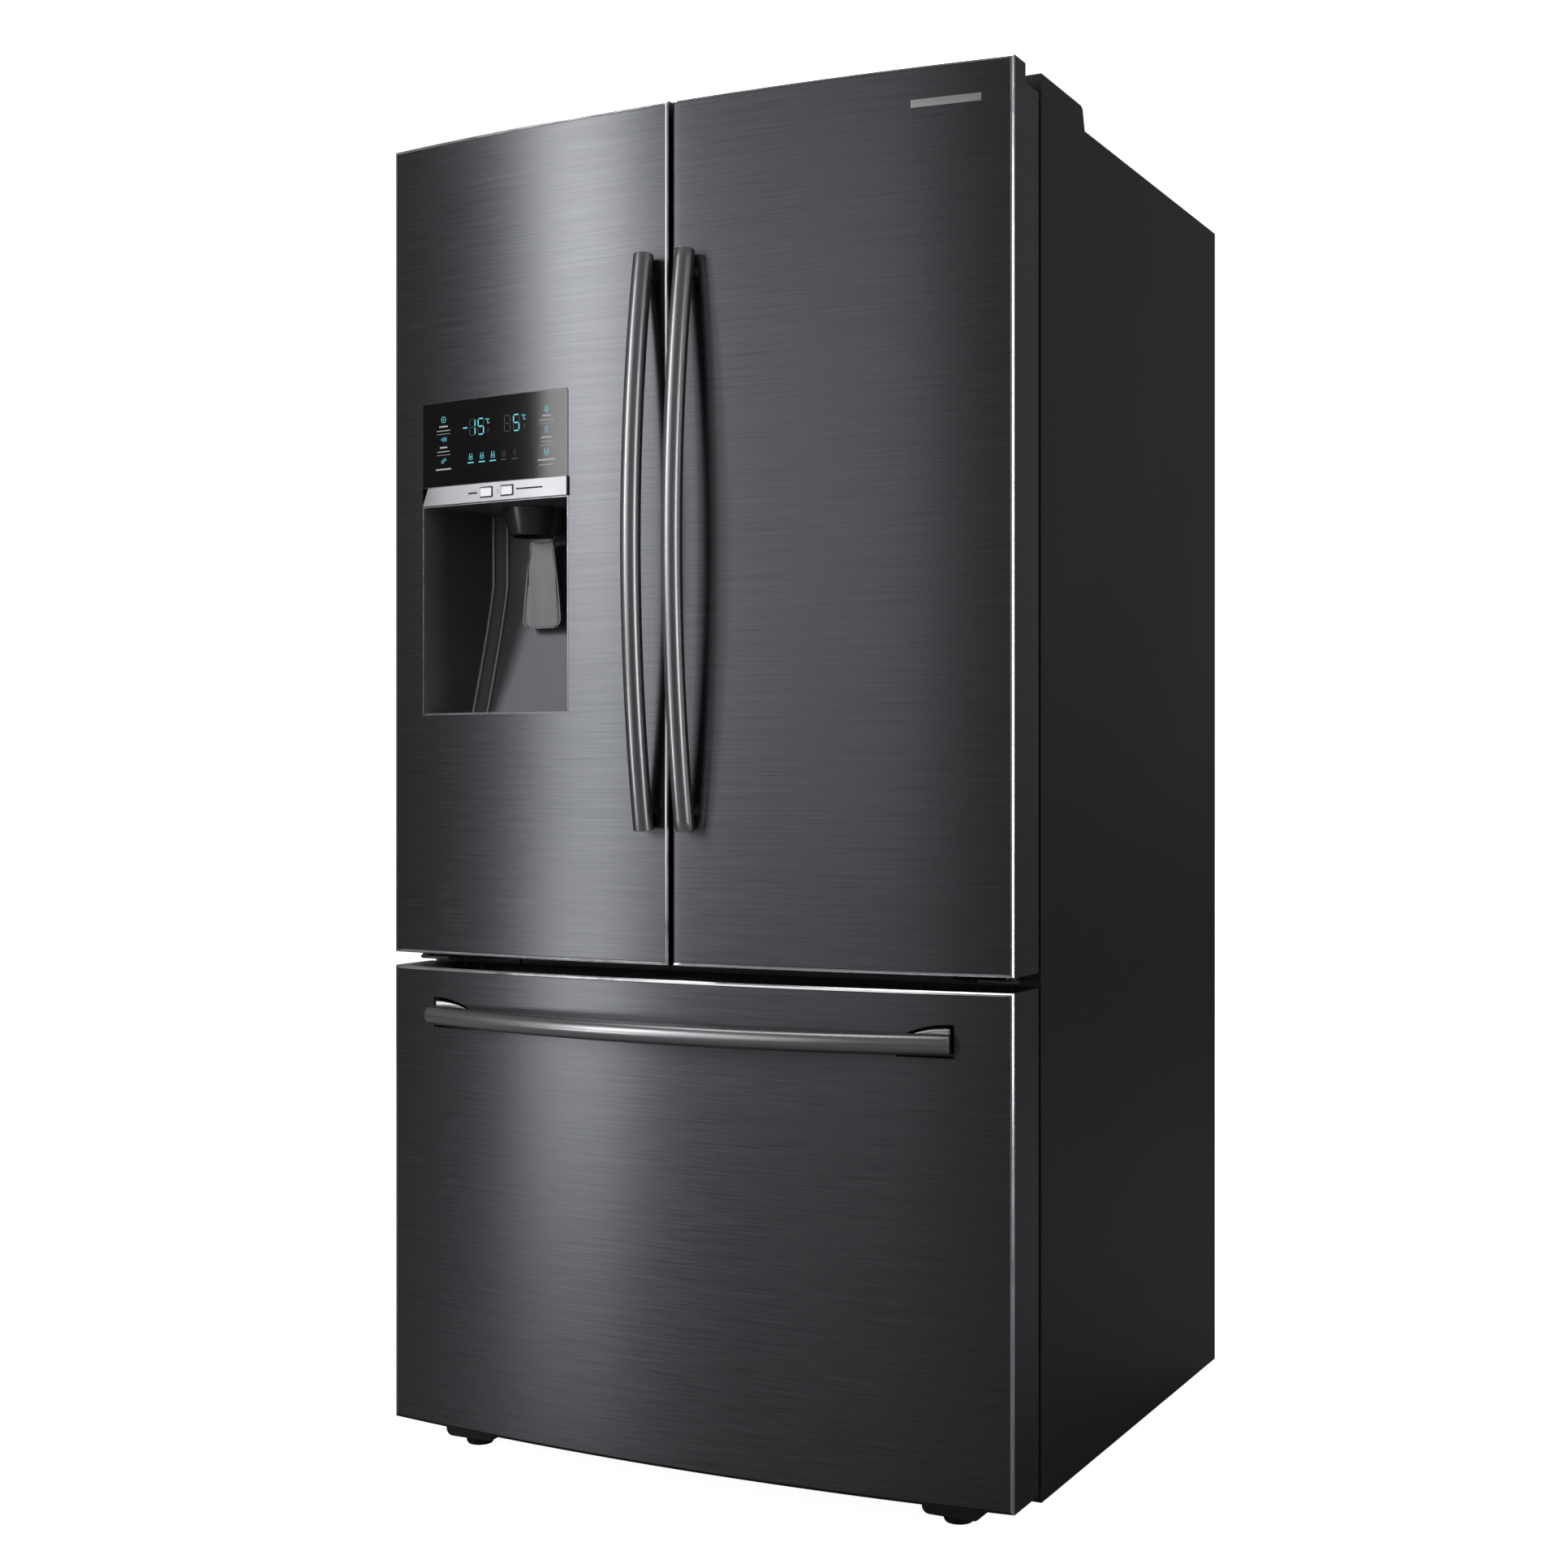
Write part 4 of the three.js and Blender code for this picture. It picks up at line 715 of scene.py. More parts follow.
# ---- Dispenser recess ----
# A moulded niche in the left door. Its walls draw in towards the back, a double ridge runs down each
# back corner, and the back wall sweeps forward to the sill. A thin bright lip frames the mouth.
bar_low, bar_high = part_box("dispenser_bar")
NICHE_WALL = 0.003
NICHE_TAPER = 0.025
NICHE_BEND = 0.008
NICHE_CORNER = 0.018
SWEEP_TOP = 1.185
SWEEP_STEPS = 9
SWEEP_POWER = 1.15
niche_left, niche_right = screen_low.x + NICHE_WALL, screen_high.x - NICHE_WALL
niche_floor, niche_ceiling = housing_low.z + 0.004, bar_low.z
niche_back = housing_high.y - NICHE_WALL
sweep_foot = niche_back - 0.050

niche_plastic = Look("niche_satin", (0.165, 0.158, 0.174), 0.35, 0.38)
patches = niche_plastic.worn(900, 0.34, 0.42, (0.150, 0.143, 0.158), (0.182, 0.175, 0.192))
niche_plastic.bump(patches.outputs["Mask"], 0.00004, 0.4)

niche = start_cube("dispenser_niche", (niche_left, edge_front, niche_floor),
                   (niche_right, niche_back, niche_ceiling))
coat(niche, niche_plastic)
pick(faces_front, "FACE")
bpy.ops.mesh.delete(type="FACE")
mouth_columns = evenly(niche_left, niche_right, 12)
slice_at("x", mouth_columns[1:-1])
sweep = evenly(niche_floor, SWEEP_TOP, SWEEP_STEPS)
slice_at("z", sweep[1:])
for side, wall in ((1, niche_left), (-1, niche_right)):
    shift(lambda v: abs(v.co.x - wall) < 1e-5 and v.co.y > niche_back - 1e-5, x=side * NICHE_TAPER)
    inner = mouth_columns[1] if side > 0 else mouth_columns[-2]
    shift(lambda v: abs(v.co.x - inner) < 1e-5 and v.co.y > niche_back - 1e-5,
          x=wall + side * (NICHE_TAPER + NICHE_CORNER) - inner)
    shift(lambda v: abs(v.co.x - wall - side * NICHE_TAPER) < 1e-5 and v.co.y > niche_back - 1e-5,
          y=-NICHE_BEND)
for i, z in enumerate(sweep[:-1]):
    shift(lambda v: abs(v.co.z - z) < 1e-5 and v.co.y > niche_back - NICHE_BEND - 1e-5,
          y=-(niche_back - sweep_foot) * (1 - i / SWEEP_STEPS) ** SWEEP_POWER)
for x in mouth_columns:
    shift(lambda v: abs(v.co.x - x) < 1e-5 and v.co.y < edge_front + 1e-5,
          y=bow_y(x) + SKIN_SHEET - edge_front)


def on_ridge(edge):
    """The two upright lines at each back corner of the niche."""
    place = middle_of(edge)
    deep = place.y > bow_y(place.x) + 0.03
    near = min(place.x - niche_left, niche_right - place.x) < NICHE_TAPER + NICHE_CORNER + 0.001
    return deep and near and abs(run_of(edge).z) > 0.5 and len(edge.link_faces) == 2


pick(on_ridge, "EDGE")
bpy.ops.mesh.bevel(offset=0.0045, segments=4)
take_all()
bpy.ops.mesh.flip_normals()
close_edit()
wall = niche.modifiers.new("wall", "SOLIDIFY")
wall.thickness, wall.offset = 0.0022, -1
apply_modifiers(niche)
finish_shape(niche, 50)
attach(niche, "left_door")
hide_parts("dispenser_housing")

# Ribs: two slim rounded beads follow each back corner down and forward to the sill. They are coloured
# far lighter than the niche plastic they are moulded in: a painted highlight along the ridges.
RIB_RADIUS = 0.0028
RIB_HIGHLIGHT_GREY = (0.50, 0.49, 0.51)
rib_painted_highlight = Look("rib_painted_highlight", RIB_HIGHLIGHT_GREY, 0.85, 0.36)
rib_painted_highlight.worn(900, 0.33, 0.42, scaled(RIB_HIGHLIGHT_GREY, 0.93), scaled(RIB_HIGHLIGHT_GREY, 1.05))
rib_steps = [(z, (1 - i / SWEEP_STEPS) ** SWEEP_POWER) for i, z in enumerate(sweep)]
rib_steps.append((niche_ceiling - 0.001, 0.0))
for number, side, reach, depth in ((1, 1, NICHE_TAPER, NICHE_BEND), (2, 1, NICHE_TAPER + NICHE_CORNER, 0),
                                   (3, -1, NICHE_TAPER + NICHE_CORNER, 0), (4, -1, NICHE_TAPER, NICHE_BEND)):
    rib_x = (niche_left if side > 0 else niche_right) + side * reach
    places = [Vector((rib_x, niche_back - depth - (niche_back - sweep_foot) * share - 0.0012, z))
              for z, share in rib_steps]
    clear()
    bpy.ops.mesh.primitive_circle_add(vertices=12, radius=RIB_RADIUS, location=places[0], fill_type="NGON")
    rib = bpy.context.object
    rib.name = f"niche_rib_{number}"
    coat(rib, rib_painted_highlight)
    settle()
    open_edit(rib)
    take_all()
    for start, end in zip(places, places[1:]):
        bpy.ops.mesh.extrude_region_move(TRANSFORM_OT_translate={"value": end - start})
    face_outwards()
    finish_shape(rib, 50)
    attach(rib, "left_door")

# The lip: a thin frame pressed round the mouth, below the bar.
LIP_WIDTH = 0.0016
lip_metal = Look("lip_bright", (0.26, 0.26, 0.27), 0.9, 0.3)
lip_metal.worn(80, 0.24, 0.38, (0.22, 0.22, 0.23), (0.30, 0.30, 0.31))


def bowed_block(name, low_x, high_x, front, back, low_z, high_z, columns=12):
    """A block whose front and back both follow the bow, at two distances from it; left in edit mode."""
    block = start_cube(name, (low_x, front, low_z), (high_x, back, high_z))
    places = evenly(low_x, high_x, columns)
    slice_at("x", places[1:-1])
    for x in places:
        shift(lambda v: abs(v.co.x - x) < 1e-5, y=bow_y(x))
    return block


LIP_FOOT = housing_low.z + 0.0012
lip = bowed_block("niche_lip", screen_low.x, screen_high.x, -0.0002, 0.0030, LIP_FOOT, niche_ceiling)
coat(lip, lip_metal)
pick(lambda f: abs(f.normal.y) > 0.9, "FACE")
bpy.ops.mesh.inset(thickness=LIP_WIDTH, depth=0)
pick(lambda f: abs(f.normal.y) > 0.9 and screen_low.x + LIP_WIDTH < middle_of(f).x < screen_high.x - LIP_WIDTH
     and LIP_FOOT + LIP_WIDTH < middle_of(f).z < niche_ceiling - LIP_WIDTH, "FACE")
bpy.ops.mesh.bridge_edge_loops()
finish_shape(lip)
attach(lip, "left_door")

# ---- Control panel ----
# A bowed black glass sheet over the electronics, with small rounded corners and a fine pale outline.
# Its figures and signs are lit in pale blue behind the glass; the words are plain pale bars here. The
# unlit strokes and the printed bars are given a faint painted glow.
glass_black = Look("panel_glass", (0.004, 0.004, 0.005), 0.0, 0.10)
glass_black.worn(3, 0.08, 0.12, (0.003, 0.003, 0.004), (0.006, 0.006, 0.007))
glass_black.shader.inputs["IOR"].default_value = 1.4

PANEL_PROUD = 0.001
PANEL_DEPTH = 0.008
PANEL_CORNER = 0.004
panel = bowed_block("control_panel_fine", screen_low.x, screen_high.x, -PANEL_PROUD, PANEL_DEPTH,
                    screen_low.z, screen_high.z, 16)
coat(panel, glass_black, lip_metal)


def panel_corner(edge):
    place = middle_of(edge)
    at_side = min(place.x - screen_low.x, screen_high.x - place.x) < 1e-4
    return abs(run_of(edge).y) > 0.9 and at_side and place.z > screen_high.z - 1e-4


def front_rim(edge):
    """True where a face to the front meets one that isn't, ahead of the door's own front."""
    fronts = sorted(faces_front(face) for face in edge.link_faces)
    return fronts == [False, True] and middle_of(edge).y < bow_y(middle_of(edge).x)


pick(panel_corner, "EDGE")
bpy.ops.mesh.bevel(offset=PANEL_CORNER, segments=5)
pick(front_rim, "EDGE")
bpy.ops.mesh.bevel(offset=0.0006, segments=2, material=1)
finish_shape(panel)
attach(panel, "left_door")
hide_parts("control_panel")

lit = Look("lit_blue", (0.02, 0.09, 0.10), 0.0, 0.4)
dim = Look("unlit_grey_painted_glow", (0.020, 0.020, 0.022), 0.0, 0.35)
pale = Look("print_pale_painted_glow", (0.45, 0.45, 0.46), 0.0, 0.5)
# The lit signs glow as the display's own light; the glow of the unlit strokes and of the printed bars is
# painted light.
for look, glow in ((lit, (0.13, 0.62, 0.72)), (dim, (0.012, 0.012, 0.013)), (pale, (0.16, 0.16, 0.17))):
    patches = look.worn(300, 0.35, 0.5)
    look.shades(patches.outputs["Mask"], scaled(glow, 0.8), scaled(glow, 1.2), "Emission Color")
    look.shader.inputs["Emission Strength"].default_value = 1.0

MARK_PROUD = 0.00014
MARK_FILM = 0.00010


class MarkSheet:
    """Flat signs drawn on the panel from its top left corner, gathered into one thin sheet piece."""

    def __init__(self, name, look):
        self.name, self.look, self.marks = name, look, []

    def keep(self):
        settle()
        self.marks.append(bpy.context.object)

    def spot(self, across, down):
        return (screen_low.x + across, 0, screen_high.z - down)

    def bar(self, across, down, width, height, slant=0.0):
        clear()
        bpy.ops.mesh.primitive_plane_add(size=1, location=self.spot(across, down),
                                         rotation=(math.pi / 2, slant, 0))
        bpy.context.object.scale = (width, height, 1)
        self.keep()

    def ring(self, across, down, radius, sides=20, line=0.0007, tall=1.0, turn=0.0):
        """An outline of some sides, or a filled spot where the line is nought."""
        clear()
        bpy.ops.mesh.primitive_circle_add(vertices=sides, radius=radius, fill_type="NGON",
                                          location=self.spot(across, down), rotation=(math.pi / 2, turn, 0))
        bpy.context.object.scale = (1, tall, 1)
        open_edit(bpy.context.object)
        take_all()
        if line:
            bpy.ops.mesh.inset(thickness=line)
            bpy.ops.mesh.delete(type="FACE")
        close_edit()
        self.keep()

    def segment(self, across, down, width, height):
        """One stroke of a figure, with pointed ends."""
        self.bar(across, down, width, height)
        open_edit(self.marks[-1])
        take_all()
        bpy.ops.mesh.bevel(offset=min(width, height) * 0.42, affect="VERTICES")
        close_edit()

    def lay(self):
        """Joins the marks and lays them against the bowed glass."""
        clear()
        for mark in self.marks:
            mark.select_set(True)
        bpy.context.view_layer.objects.active = self.marks[0]
        bpy.ops.object.join()
        sheet = bpy.context.object
        sheet.name = self.name
        coat(sheet, self.look)
        for vertex in sheet.data.vertices:
            vertex.co.y = bow_y(vertex.co.x) - PANEL_PROUD - MARK_PROUD
        film = sheet.modifiers.new("film", "SOLIDIFY")
        film.thickness, film.offset = MARK_FILM, -1
        apply_modifiers(sheet)
        clear()
        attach(sheet, "left_door")


lit_marks = MarkSheet("lit_signs", lit)
dim_marks = MarkSheet("unlit_signs", dim)
pale_marks = MarkSheet("printed_bars", pale)

# The seven strokes of a figure: place across and down in halves of the cell, and whether it stands upright.
FIGURE_STROKES = ((0, -1, False), (1, -0.5, True), (1, 0.5, True), (0, 1, False), (-1, 0.5, True),
                  (-1, -0.5, True), (0, 0, False))
FIGURE_HALF = (0.0046, 0.0105)
STROKE = 0.0017
STROKE_LIT = {"1": (1, 2), "5": (0, 2, 3, 5, 6), " ": ()}


def draw_figure(figure, across, down):
    for number, (dx, dz, upright) in enumerate(FIGURE_STROKES):
        sheet = lit_marks if number in STROKE_LIT[figure] else dim_marks
        width, height = (STROKE, FIGURE_HALF[1] * 0.86) if upright else (FIGURE_HALF[0] * 1.6, STROKE)
        thin = 1 if sheet is lit_marks else 0.7
        sheet.segment(across + dx * FIGURE_HALF[0], down + dz * FIGURE_HALF[1],
                      width * (thin if upright else 1), height * (1 if upright else thin))


def draw_degree(across, down):
    lit_marks.ring(across - 0.0022, down - 0.0030, 0.0011, 12, 0.0005)
    lit_marks.bar(across + 0.0016, down - 0.0026, 0.0034, 0.0009)
    lit_marks.bar(across + 0.0002, down, 0.0009, 0.0052)
    lit_marks.bar(across + 0.0016, down + 0.0026, 0.0034, 0.0009)
    dim_marks.bar(across + 0.0004, down + 0.0125, 0.0008, 0.0056)
    dim_marks.bar(across + 0.0018, down + 0.0101, 0.0030, 0.0008)
    dim_marks.bar(across + 0.0014, down + 0.0122, 0.0022, 0.0008)


FIGURE_ROW = 0.0386
lit_marks.segment(0.0764, FIGURE_ROW, 0.0080, STROKE)
draw_figure("1", 0.0888, FIGURE_ROW)
draw_figure("5", 0.1034, FIGURE_ROW)
draw_degree(0.1148, 0.0325)
draw_figure(" ", 0.1482, FIGURE_ROW)
draw_figure("5", 0.1633, FIGURE_ROW)
draw_degree(0.1755, 0.0325)

# Side columns: a sign, one or two printed bars, and a rule below all but the last.
LEFT_COLUMN, RIGHT_COLUMN = 0.0380, 0.2130
SIGN_ROWS = (0.0243, 0.0510, 0.0801)
BAR_ROWS = (0.0335, 0.0618, 0.0912)
SMALL_BAR_ROWS = (0.0392, 0.0674, 0.0978)
RULE_ROWS = (0.0437, 0.0720)
for column, bars, small_bars in ((LEFT_COLUMN, (0.015, 0.013, 0.027), (0.024, 0.022, 0)),
                                 (RIGHT_COLUMN, (0.014, 0.018, 0.029), (0.024, 0.017, 0.026))):
    for row, width in zip(BAR_ROWS, bars):
        pale_marks.bar(column, row, width, 0.0021)
    for row, width in zip(SMALL_BAR_ROWS, small_bars):
        if width:
            pale_marks.bar(column, row, width, 0.0010)
    for row in RULE_ROWS:
        pale_marks.bar(column, row, 0.0235, 0.0005)
lit_marks.ring(LEFT_COLUMN, SIGN_ROWS[0], 0.0046, 6, 0.0007, turn=math.radians(30))
lit_marks.ring(LEFT_COLUMN, SIGN_ROWS[0], 0.0014, 4, 0)
lit_marks.ring(LEFT_COLUMN - 0.0010, SIGN_ROWS[1], 0.0038, 3, 0.0006, turn=math.radians(-90))
lit_marks.bar(LEFT_COLUMN + 0.0030, SIGN_ROWS[1], 0.0006, 0.0040)
lit_marks.bar(LEFT_COLUMN + 0.0046, SIGN_ROWS[1], 0.0006, 0.0060)
lit_marks.ring(LEFT_COLUMN - 0.0016, SIGN_ROWS[2] + 0.0010, 0.0026, 5, 0.0006)
lit_marks.ring(LEFT_COLUMN + 0.0026, SIGN_ROWS[2] - 0.0016, 0.0020, 12, 0.0006)
lit_marks.ring(RIGHT_COLUMN, SIGN_ROWS[0] + 0.0008, 0.0030, 16, 0.0006, tall=1.3)
lit_marks.ring(RIGHT_COLUMN, SIGN_ROWS[0] + 0.0014, 0.0009, 10, 0)
lit_marks.ring(RIGHT_COLUMN, SIGN_ROWS[1] - 0.0008, 0.0027, 5, 0.0006, tall=1.2)
for lean in (-0.0032, 0, 0.0032):
    lit_marks.bar(RIGHT_COLUMN + lean, SIGN_ROWS[1] + 0.0042, 0.0006, 0.0016)


def draw_cup(sheet, across, down, wide=0.0034):
    """An open tumbler with a ring in it."""
    sheet.bar(across, down + 0.0042, wide * 1.3, 0.0007)
    sheet.bar(across - wide * 0.86, down, 0.0007, 0.0084, math.radians(9))
    sheet.bar(across + wide * 0.86, down, 0.0007, 0.0084, math.radians(-9))
    sheet.ring(across, down + 0.0008, 0.0015, 12, 0.0005)


draw_cup(lit_marks, RIGHT_COLUMN, SIGN_ROWS[2])
LOWER_ROW, LOWER_BAR_ROW = 0.0775, 0.0858
for across in (0.0859, 0.1052, 0.1239, 0.1423, 0.1606):
    sheet = lit_marks if across < 0.13 else dim_marks
    if sheet is lit_marks or across < 0.15:
        draw_cup(sheet, across, LOWER_ROW, 0.0028)
    else:
        sheet.ring(across, LOWER_ROW + 0.0010, 0.0028, 4, 0.0006, turn=math.radians(45))
        sheet.ring(across, LOWER_ROW - 0.0024, 0.0018, 10, 0.0005)
    sheet.bar(across, LOWER_BAR_ROW, 0.0105, 0.0015)
for marks in (lit_marks, dim_marks, pale_marks):
    marks.lay()

# ---- Dispenser bar and buttons ----
# A proud satin silver bar across the dispenser, its left end cut on a slant. Two small rounded keys sit
# in holes whose walls are painted near-black as shade, each free to be pushed in. Thin printed strokes
# stand beside and between them, and dark lines round each key are painted shade of its gap.
SILVER = (0.56, 0.56, 0.58)
bar_silver = Look("satin_silver", SILVER, 0.75, 0.38)
bar_silver.worn(12, 0.33, 0.42, scaled(SILVER, 0.93), scaled(SILVER, 1.05))

BAR_PROUD = 0.004
BAR_SLANT = 0.009
BAR_INSET = 0.002
BAR_DEPTH = 0.013
bar = bowed_block("dispenser_bar_fine", screen_low.x, screen_high.x, -BAR_PROUD, BAR_DEPTH,
                  bar_low.z, bar_high.z)
coat(bar, bar_silver, print_and_shade_black)
shift(lambda v: v.co.x < screen_low.x + 1e-4, x=BAR_INSET)
shift(lambda v: v.co.x < screen_low.x + BAR_INSET + 1e-4 and v.co.z > bar_high.z - 1e-4, x=BAR_SLANT)
pick(front_rim, "EDGE")
bpy.ops.mesh.bevel(offset=0.0009, segments=3)
close_edit()

KEY_GAP = 0.0007
KEY_CORNER = 0.0018
for node in ("water_button", "ice_button"):
    low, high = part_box(node)
    hole = upright_cutter(f"{node}_hole", (low.x - KEY_GAP, low.y - 0.03, low.z - KEY_GAP),
                          (high.x + KEY_GAP, high.y + 0.002, high.z + KEY_GAP), KEY_CORNER)
    coat(hole, bar_silver, print_and_shade_black)
    # Every wall of the hole is coloured near-black: painted shade in the gap round the key.
    for face in hole.data.polygons:
        face.material_index = 1
    cut_out(bar, hole)
    key = upright_cutter(f"{node}_fine", low, high, KEY_CORNER)
    coat(key, bar_silver)
    open_edit(key)
    pick(faces_front, "FACE")
    bpy.ops.mesh.bevel(offset=0.0005, segments=2)
    pick(lambda f: f.normal.y < -0.95, "FACE")
    bpy.ops.mesh.inset(thickness=0.0012, depth=-0.0002)
    finish_shape(key)
    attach(key, node)
    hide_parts(node)
finish_shape(bar)
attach(bar, "left_door")
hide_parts("dispenser_bar")

bar_print = MarkSheet("bar_print", print_and_shade_black)
bar_row = screen_high.z - (bar_low.z + bar_high.z) / 2
bar_print.bar(0.0915, bar_row, 0.0150, 0.0022)
bar_print.bar(0.1345, bar_row, 0.0007, 0.0060)
bar_print.bar(0.1870, bar_row - 0.0008, 0.0430, 0.0020)
# Dark lines drawn round each key: painted shade of the gap between key and bar.
KEY_SHADE_WIDTH = 0.0007
KEY_SHADE_OFFSET = 0.0022
for node in ("water_button", "ice_button"):
    low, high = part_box(node)
    across, down = (low.x + high.x) / 2 - screen_low.x, screen_high.z - (low.z + high.z) / 2
    wide, tall = high.x - low.x + KEY_SHADE_OFFSET, high.z - low.z + KEY_SHADE_OFFSET
    for side in (-1, 1):
        bar_print.bar(across, down + side * tall / 2, wide + KEY_SHADE_WIDTH, KEY_SHADE_WIDTH)
        bar_print.bar(across + side * wide / 2, down, KEY_SHADE_WIDTH, tall)
bar_print.lay()
open_edit(bpy.data.objects["bar_print"])
shift(lambda v: True, y=PANEL_PROUD - BAR_PROUD)
close_edit()
clear()

# ---- Ice chute and paddle ----
# The chute is a glossy dark cone under the ceiling of the niche, with a rolled foot. The paddle hangs
# below it on its top edge: a cast satin grey plate, wider at its foot, with a fine raised border.
chute_low, chute_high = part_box("ice_chute")
chute_black = Look("chute_gloss", (0.070, 0.068, 0.074), 0.5, 0.24)
chute_black.worn(40, 0.18, 0.27, (0.060, 0.058, 0.064), (0.080, 0.078, 0.084))

chute_x, chute_y = (chute_low.x + chute_high.x) / 2, (chute_low.y + chute_high.y) / 2
chute_top_radius = (chute_high.x - chute_low.x) / 2
CHUTE_FOOT_RADIUS = 0.031
CHUTE_WALL = 0.0030
clear()
bpy.ops.mesh.primitive_cone_add(vertices=48, radius1=CHUTE_FOOT_RADIUS, radius2=chute_top_radius,
                                depth=chute_high.z - chute_low.z, end_fill_type="NOTHING",
                                location=(chute_x, chute_y, (chute_low.z + chute_high.z) / 2))
chute = bpy.context.object
chute.name = "ice_chute_fine"
settle()
open_edit(chute)
slice_at("z", [chute_low.z + 0.003, chute_high.z - 0.006])
pick(lambda v: v.co.z < chute_low.z + 0.0035)
bpy.ops.transform.resize(value=(1.04, 1.04, 1), center_override=(chute_x, chute_y, chute_low.z))
pick(lambda v: v.co.z < chute_low.z + 0.001)
bpy.ops.transform.resize(value=(0.95, 0.95, 1), center_override=(chute_x, chute_y, chute_low.z))
close_edit()
coat(chute, chute_black)
cone_wall = chute.modifiers.new("wall", "SOLIDIFY")
cone_wall.thickness, cone_wall.offset = CHUTE_WALL, -1
round_edges(chute, 0.0009, 3)
apply_modifiers(chute)
finish_shape(chute, 40)
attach(chute, "left_door")
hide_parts("ice_chute")

PADDLE_GREY = (0.145, 0.145, 0.152)
paddle_grey = Look("paddle_satin", PADDLE_GREY, 0.9, 0.40)
paddle_grey.worn(700, 0.36, 0.45, scaled(PADDLE_GREY, 0.92), scaled(PADDLE_GREY, 1.06))

paddle_low, paddle_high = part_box("dispenser_paddle")
PADDLE_NARROWING = 0.013
paddle = start_cube("dispenser_paddle_fine", paddle_low, paddle_high)
coat(paddle, paddle_grey)
PADDLE_ROWS = 8
paddle_half = (paddle_high.x - paddle_low.x) / 2
paddle_rows = evenly(paddle_low.z, paddle_high.z, PADDLE_ROWS)
slice_at("z", paddle_rows[1:-1])
for i, z in enumerate(paddle_rows[1:], 1):
    narrowing = PADDLE_NARROWING / paddle_half * (i / PADDLE_ROWS) ** 1.3
    pick(lambda v: abs(v.co.z - z) < 1e-5)
    bpy.ops.transform.resize(value=(1 - narrowing, 1, 1), center_override=(chute_x, 0, z))
pick(lambda e: abs(run_of(e).y) > 0.9 and middle_of(e).z < paddle_low.z + 1e-4, "EDGE")
bpy.ops.mesh.bevel(offset=0.014, segments=6)
pick(faces_front, "FACE")
bpy.ops.mesh.inset(thickness=0.0022)
bpy.ops.mesh.inset(thickness=0.0006, depth=-0.0005)
PADDLE_CROWN = 0.0016
PADDLE_COLUMN = 0.0055
paddle_columns = [chute_x + step * PADDLE_COLUMN for step in range(-4, 5)]
slice_at("x", paddle_columns)
for x in paddle_columns:
    lean = (x - chute_x) / (paddle_high.x - chute_x)
    shift(lambda v: abs(v.co.x - x) < 1e-5 and v.co.y < paddle_low.y + 0.001, y=PADDLE_CROWN * lean * lean)
close_edit()
round_edges(paddle, 0.0011, 3)
apply_modifiers(paddle)
finish_shape(paddle)
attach(paddle, "dispenser_paddle")
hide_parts("dispenser_paddle")

# ---- Plate on the right door ----
# A slim blank plate of brushed satin metal is glued to the door near its top outer corner. It follows
# the front's bow, and its front edges are eased.
PLATE_COLOR = (0.50, 0.50, 0.51)
plate_metal = Look("plate_satin", PLATE_COLOR, 0.9, 0.34)
plate_metal.brushed((0.02, 1, 1), 300, 900, PLATE_COLOR, 0.15, (0.30, 0.40))
plate_x = (right_high.x - 0.127, right_high.x - 0.039)
plate_z = (right_high.z - 0.0515, right_high.z - 0.0415)
PLATE_FRONT, PLATE_BACK = -0.0010, 0.0004
plate = bowed_block("blank_plate", *plate_x, PLATE_FRONT, PLATE_BACK, *plate_z, columns=6)
coat(plate, plate_metal)
pick(lambda f: f.normal.y < -0.8, "FACE")
bpy.ops.mesh.bevel(offset=0.0005, segments=2)
finish_shape(plate)
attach(plate, "right_door")

# ---- Hinge covers and hinges ----
# Moulded black covers are clipped over the top hinges, each with a low neck and a round lobe over its
# pin. Below, black pressed plates are screwed to the bar between the compartments.
mould_black = Look("moulded_black", (0.012, 0.012, 0.013), 0.0, 0.40)
patches = mould_black.worn(1100, 0.36, 0.50, (0.010, 0.010, 0.011), (0.016, 0.016, 0.018))
mould_black.bump(patches.outputs["Mask"], 0.00005, 0.5)


def dress(look, edge, *nodes):
    """Gives the frame's own nodes a material, and softens their sharp edges with live modifiers."""
    for node in nodes:
        part = bpy.data.objects[node]
        part.data.materials.clear()
        coat(part, look)
        weld = part.modifiers.new("weld", "WELD")
        weld.merge_threshold = 1e-6
        flat = part.modifiers.new("flat", "DECIMATE")
        flat.decimate_type = "DISSOLVE"
        flat.angle_limit = math.radians(1)
        round_edges(part, edge, 2, 35)
        weighted = part.modifiers.new("weighted", "WEIGHTED_NORMAL")
        weighted.keep_sharp = False


dress(mould_black, 0.0012, "left_hinge_cover", "right_hinge_cover")
dress(mould_black, 0.0005, "left_middle_hinge", "right_middle_hinge")

ZINC_COLOR = (0.46, 0.47, 0.48)
zinc = Look("zinc_plate", ZINC_COLOR, 0.85, 0.38)
spangle = zinc.add("ShaderNodeTexVoronoi", {"Scale": 90})
zinc.join(zinc.coords, spangle.inputs["Vector"])
zinc.shades(spangle.outputs["Distance"], scaled(ZINC_COLOR, 0.8), scaled(ZINC_COLOR, 1.15))
zinc.worn(25, 0.30, 0.46)
dress(zinc, 0.0006, "left_top_hinge", "right_top_hinge")


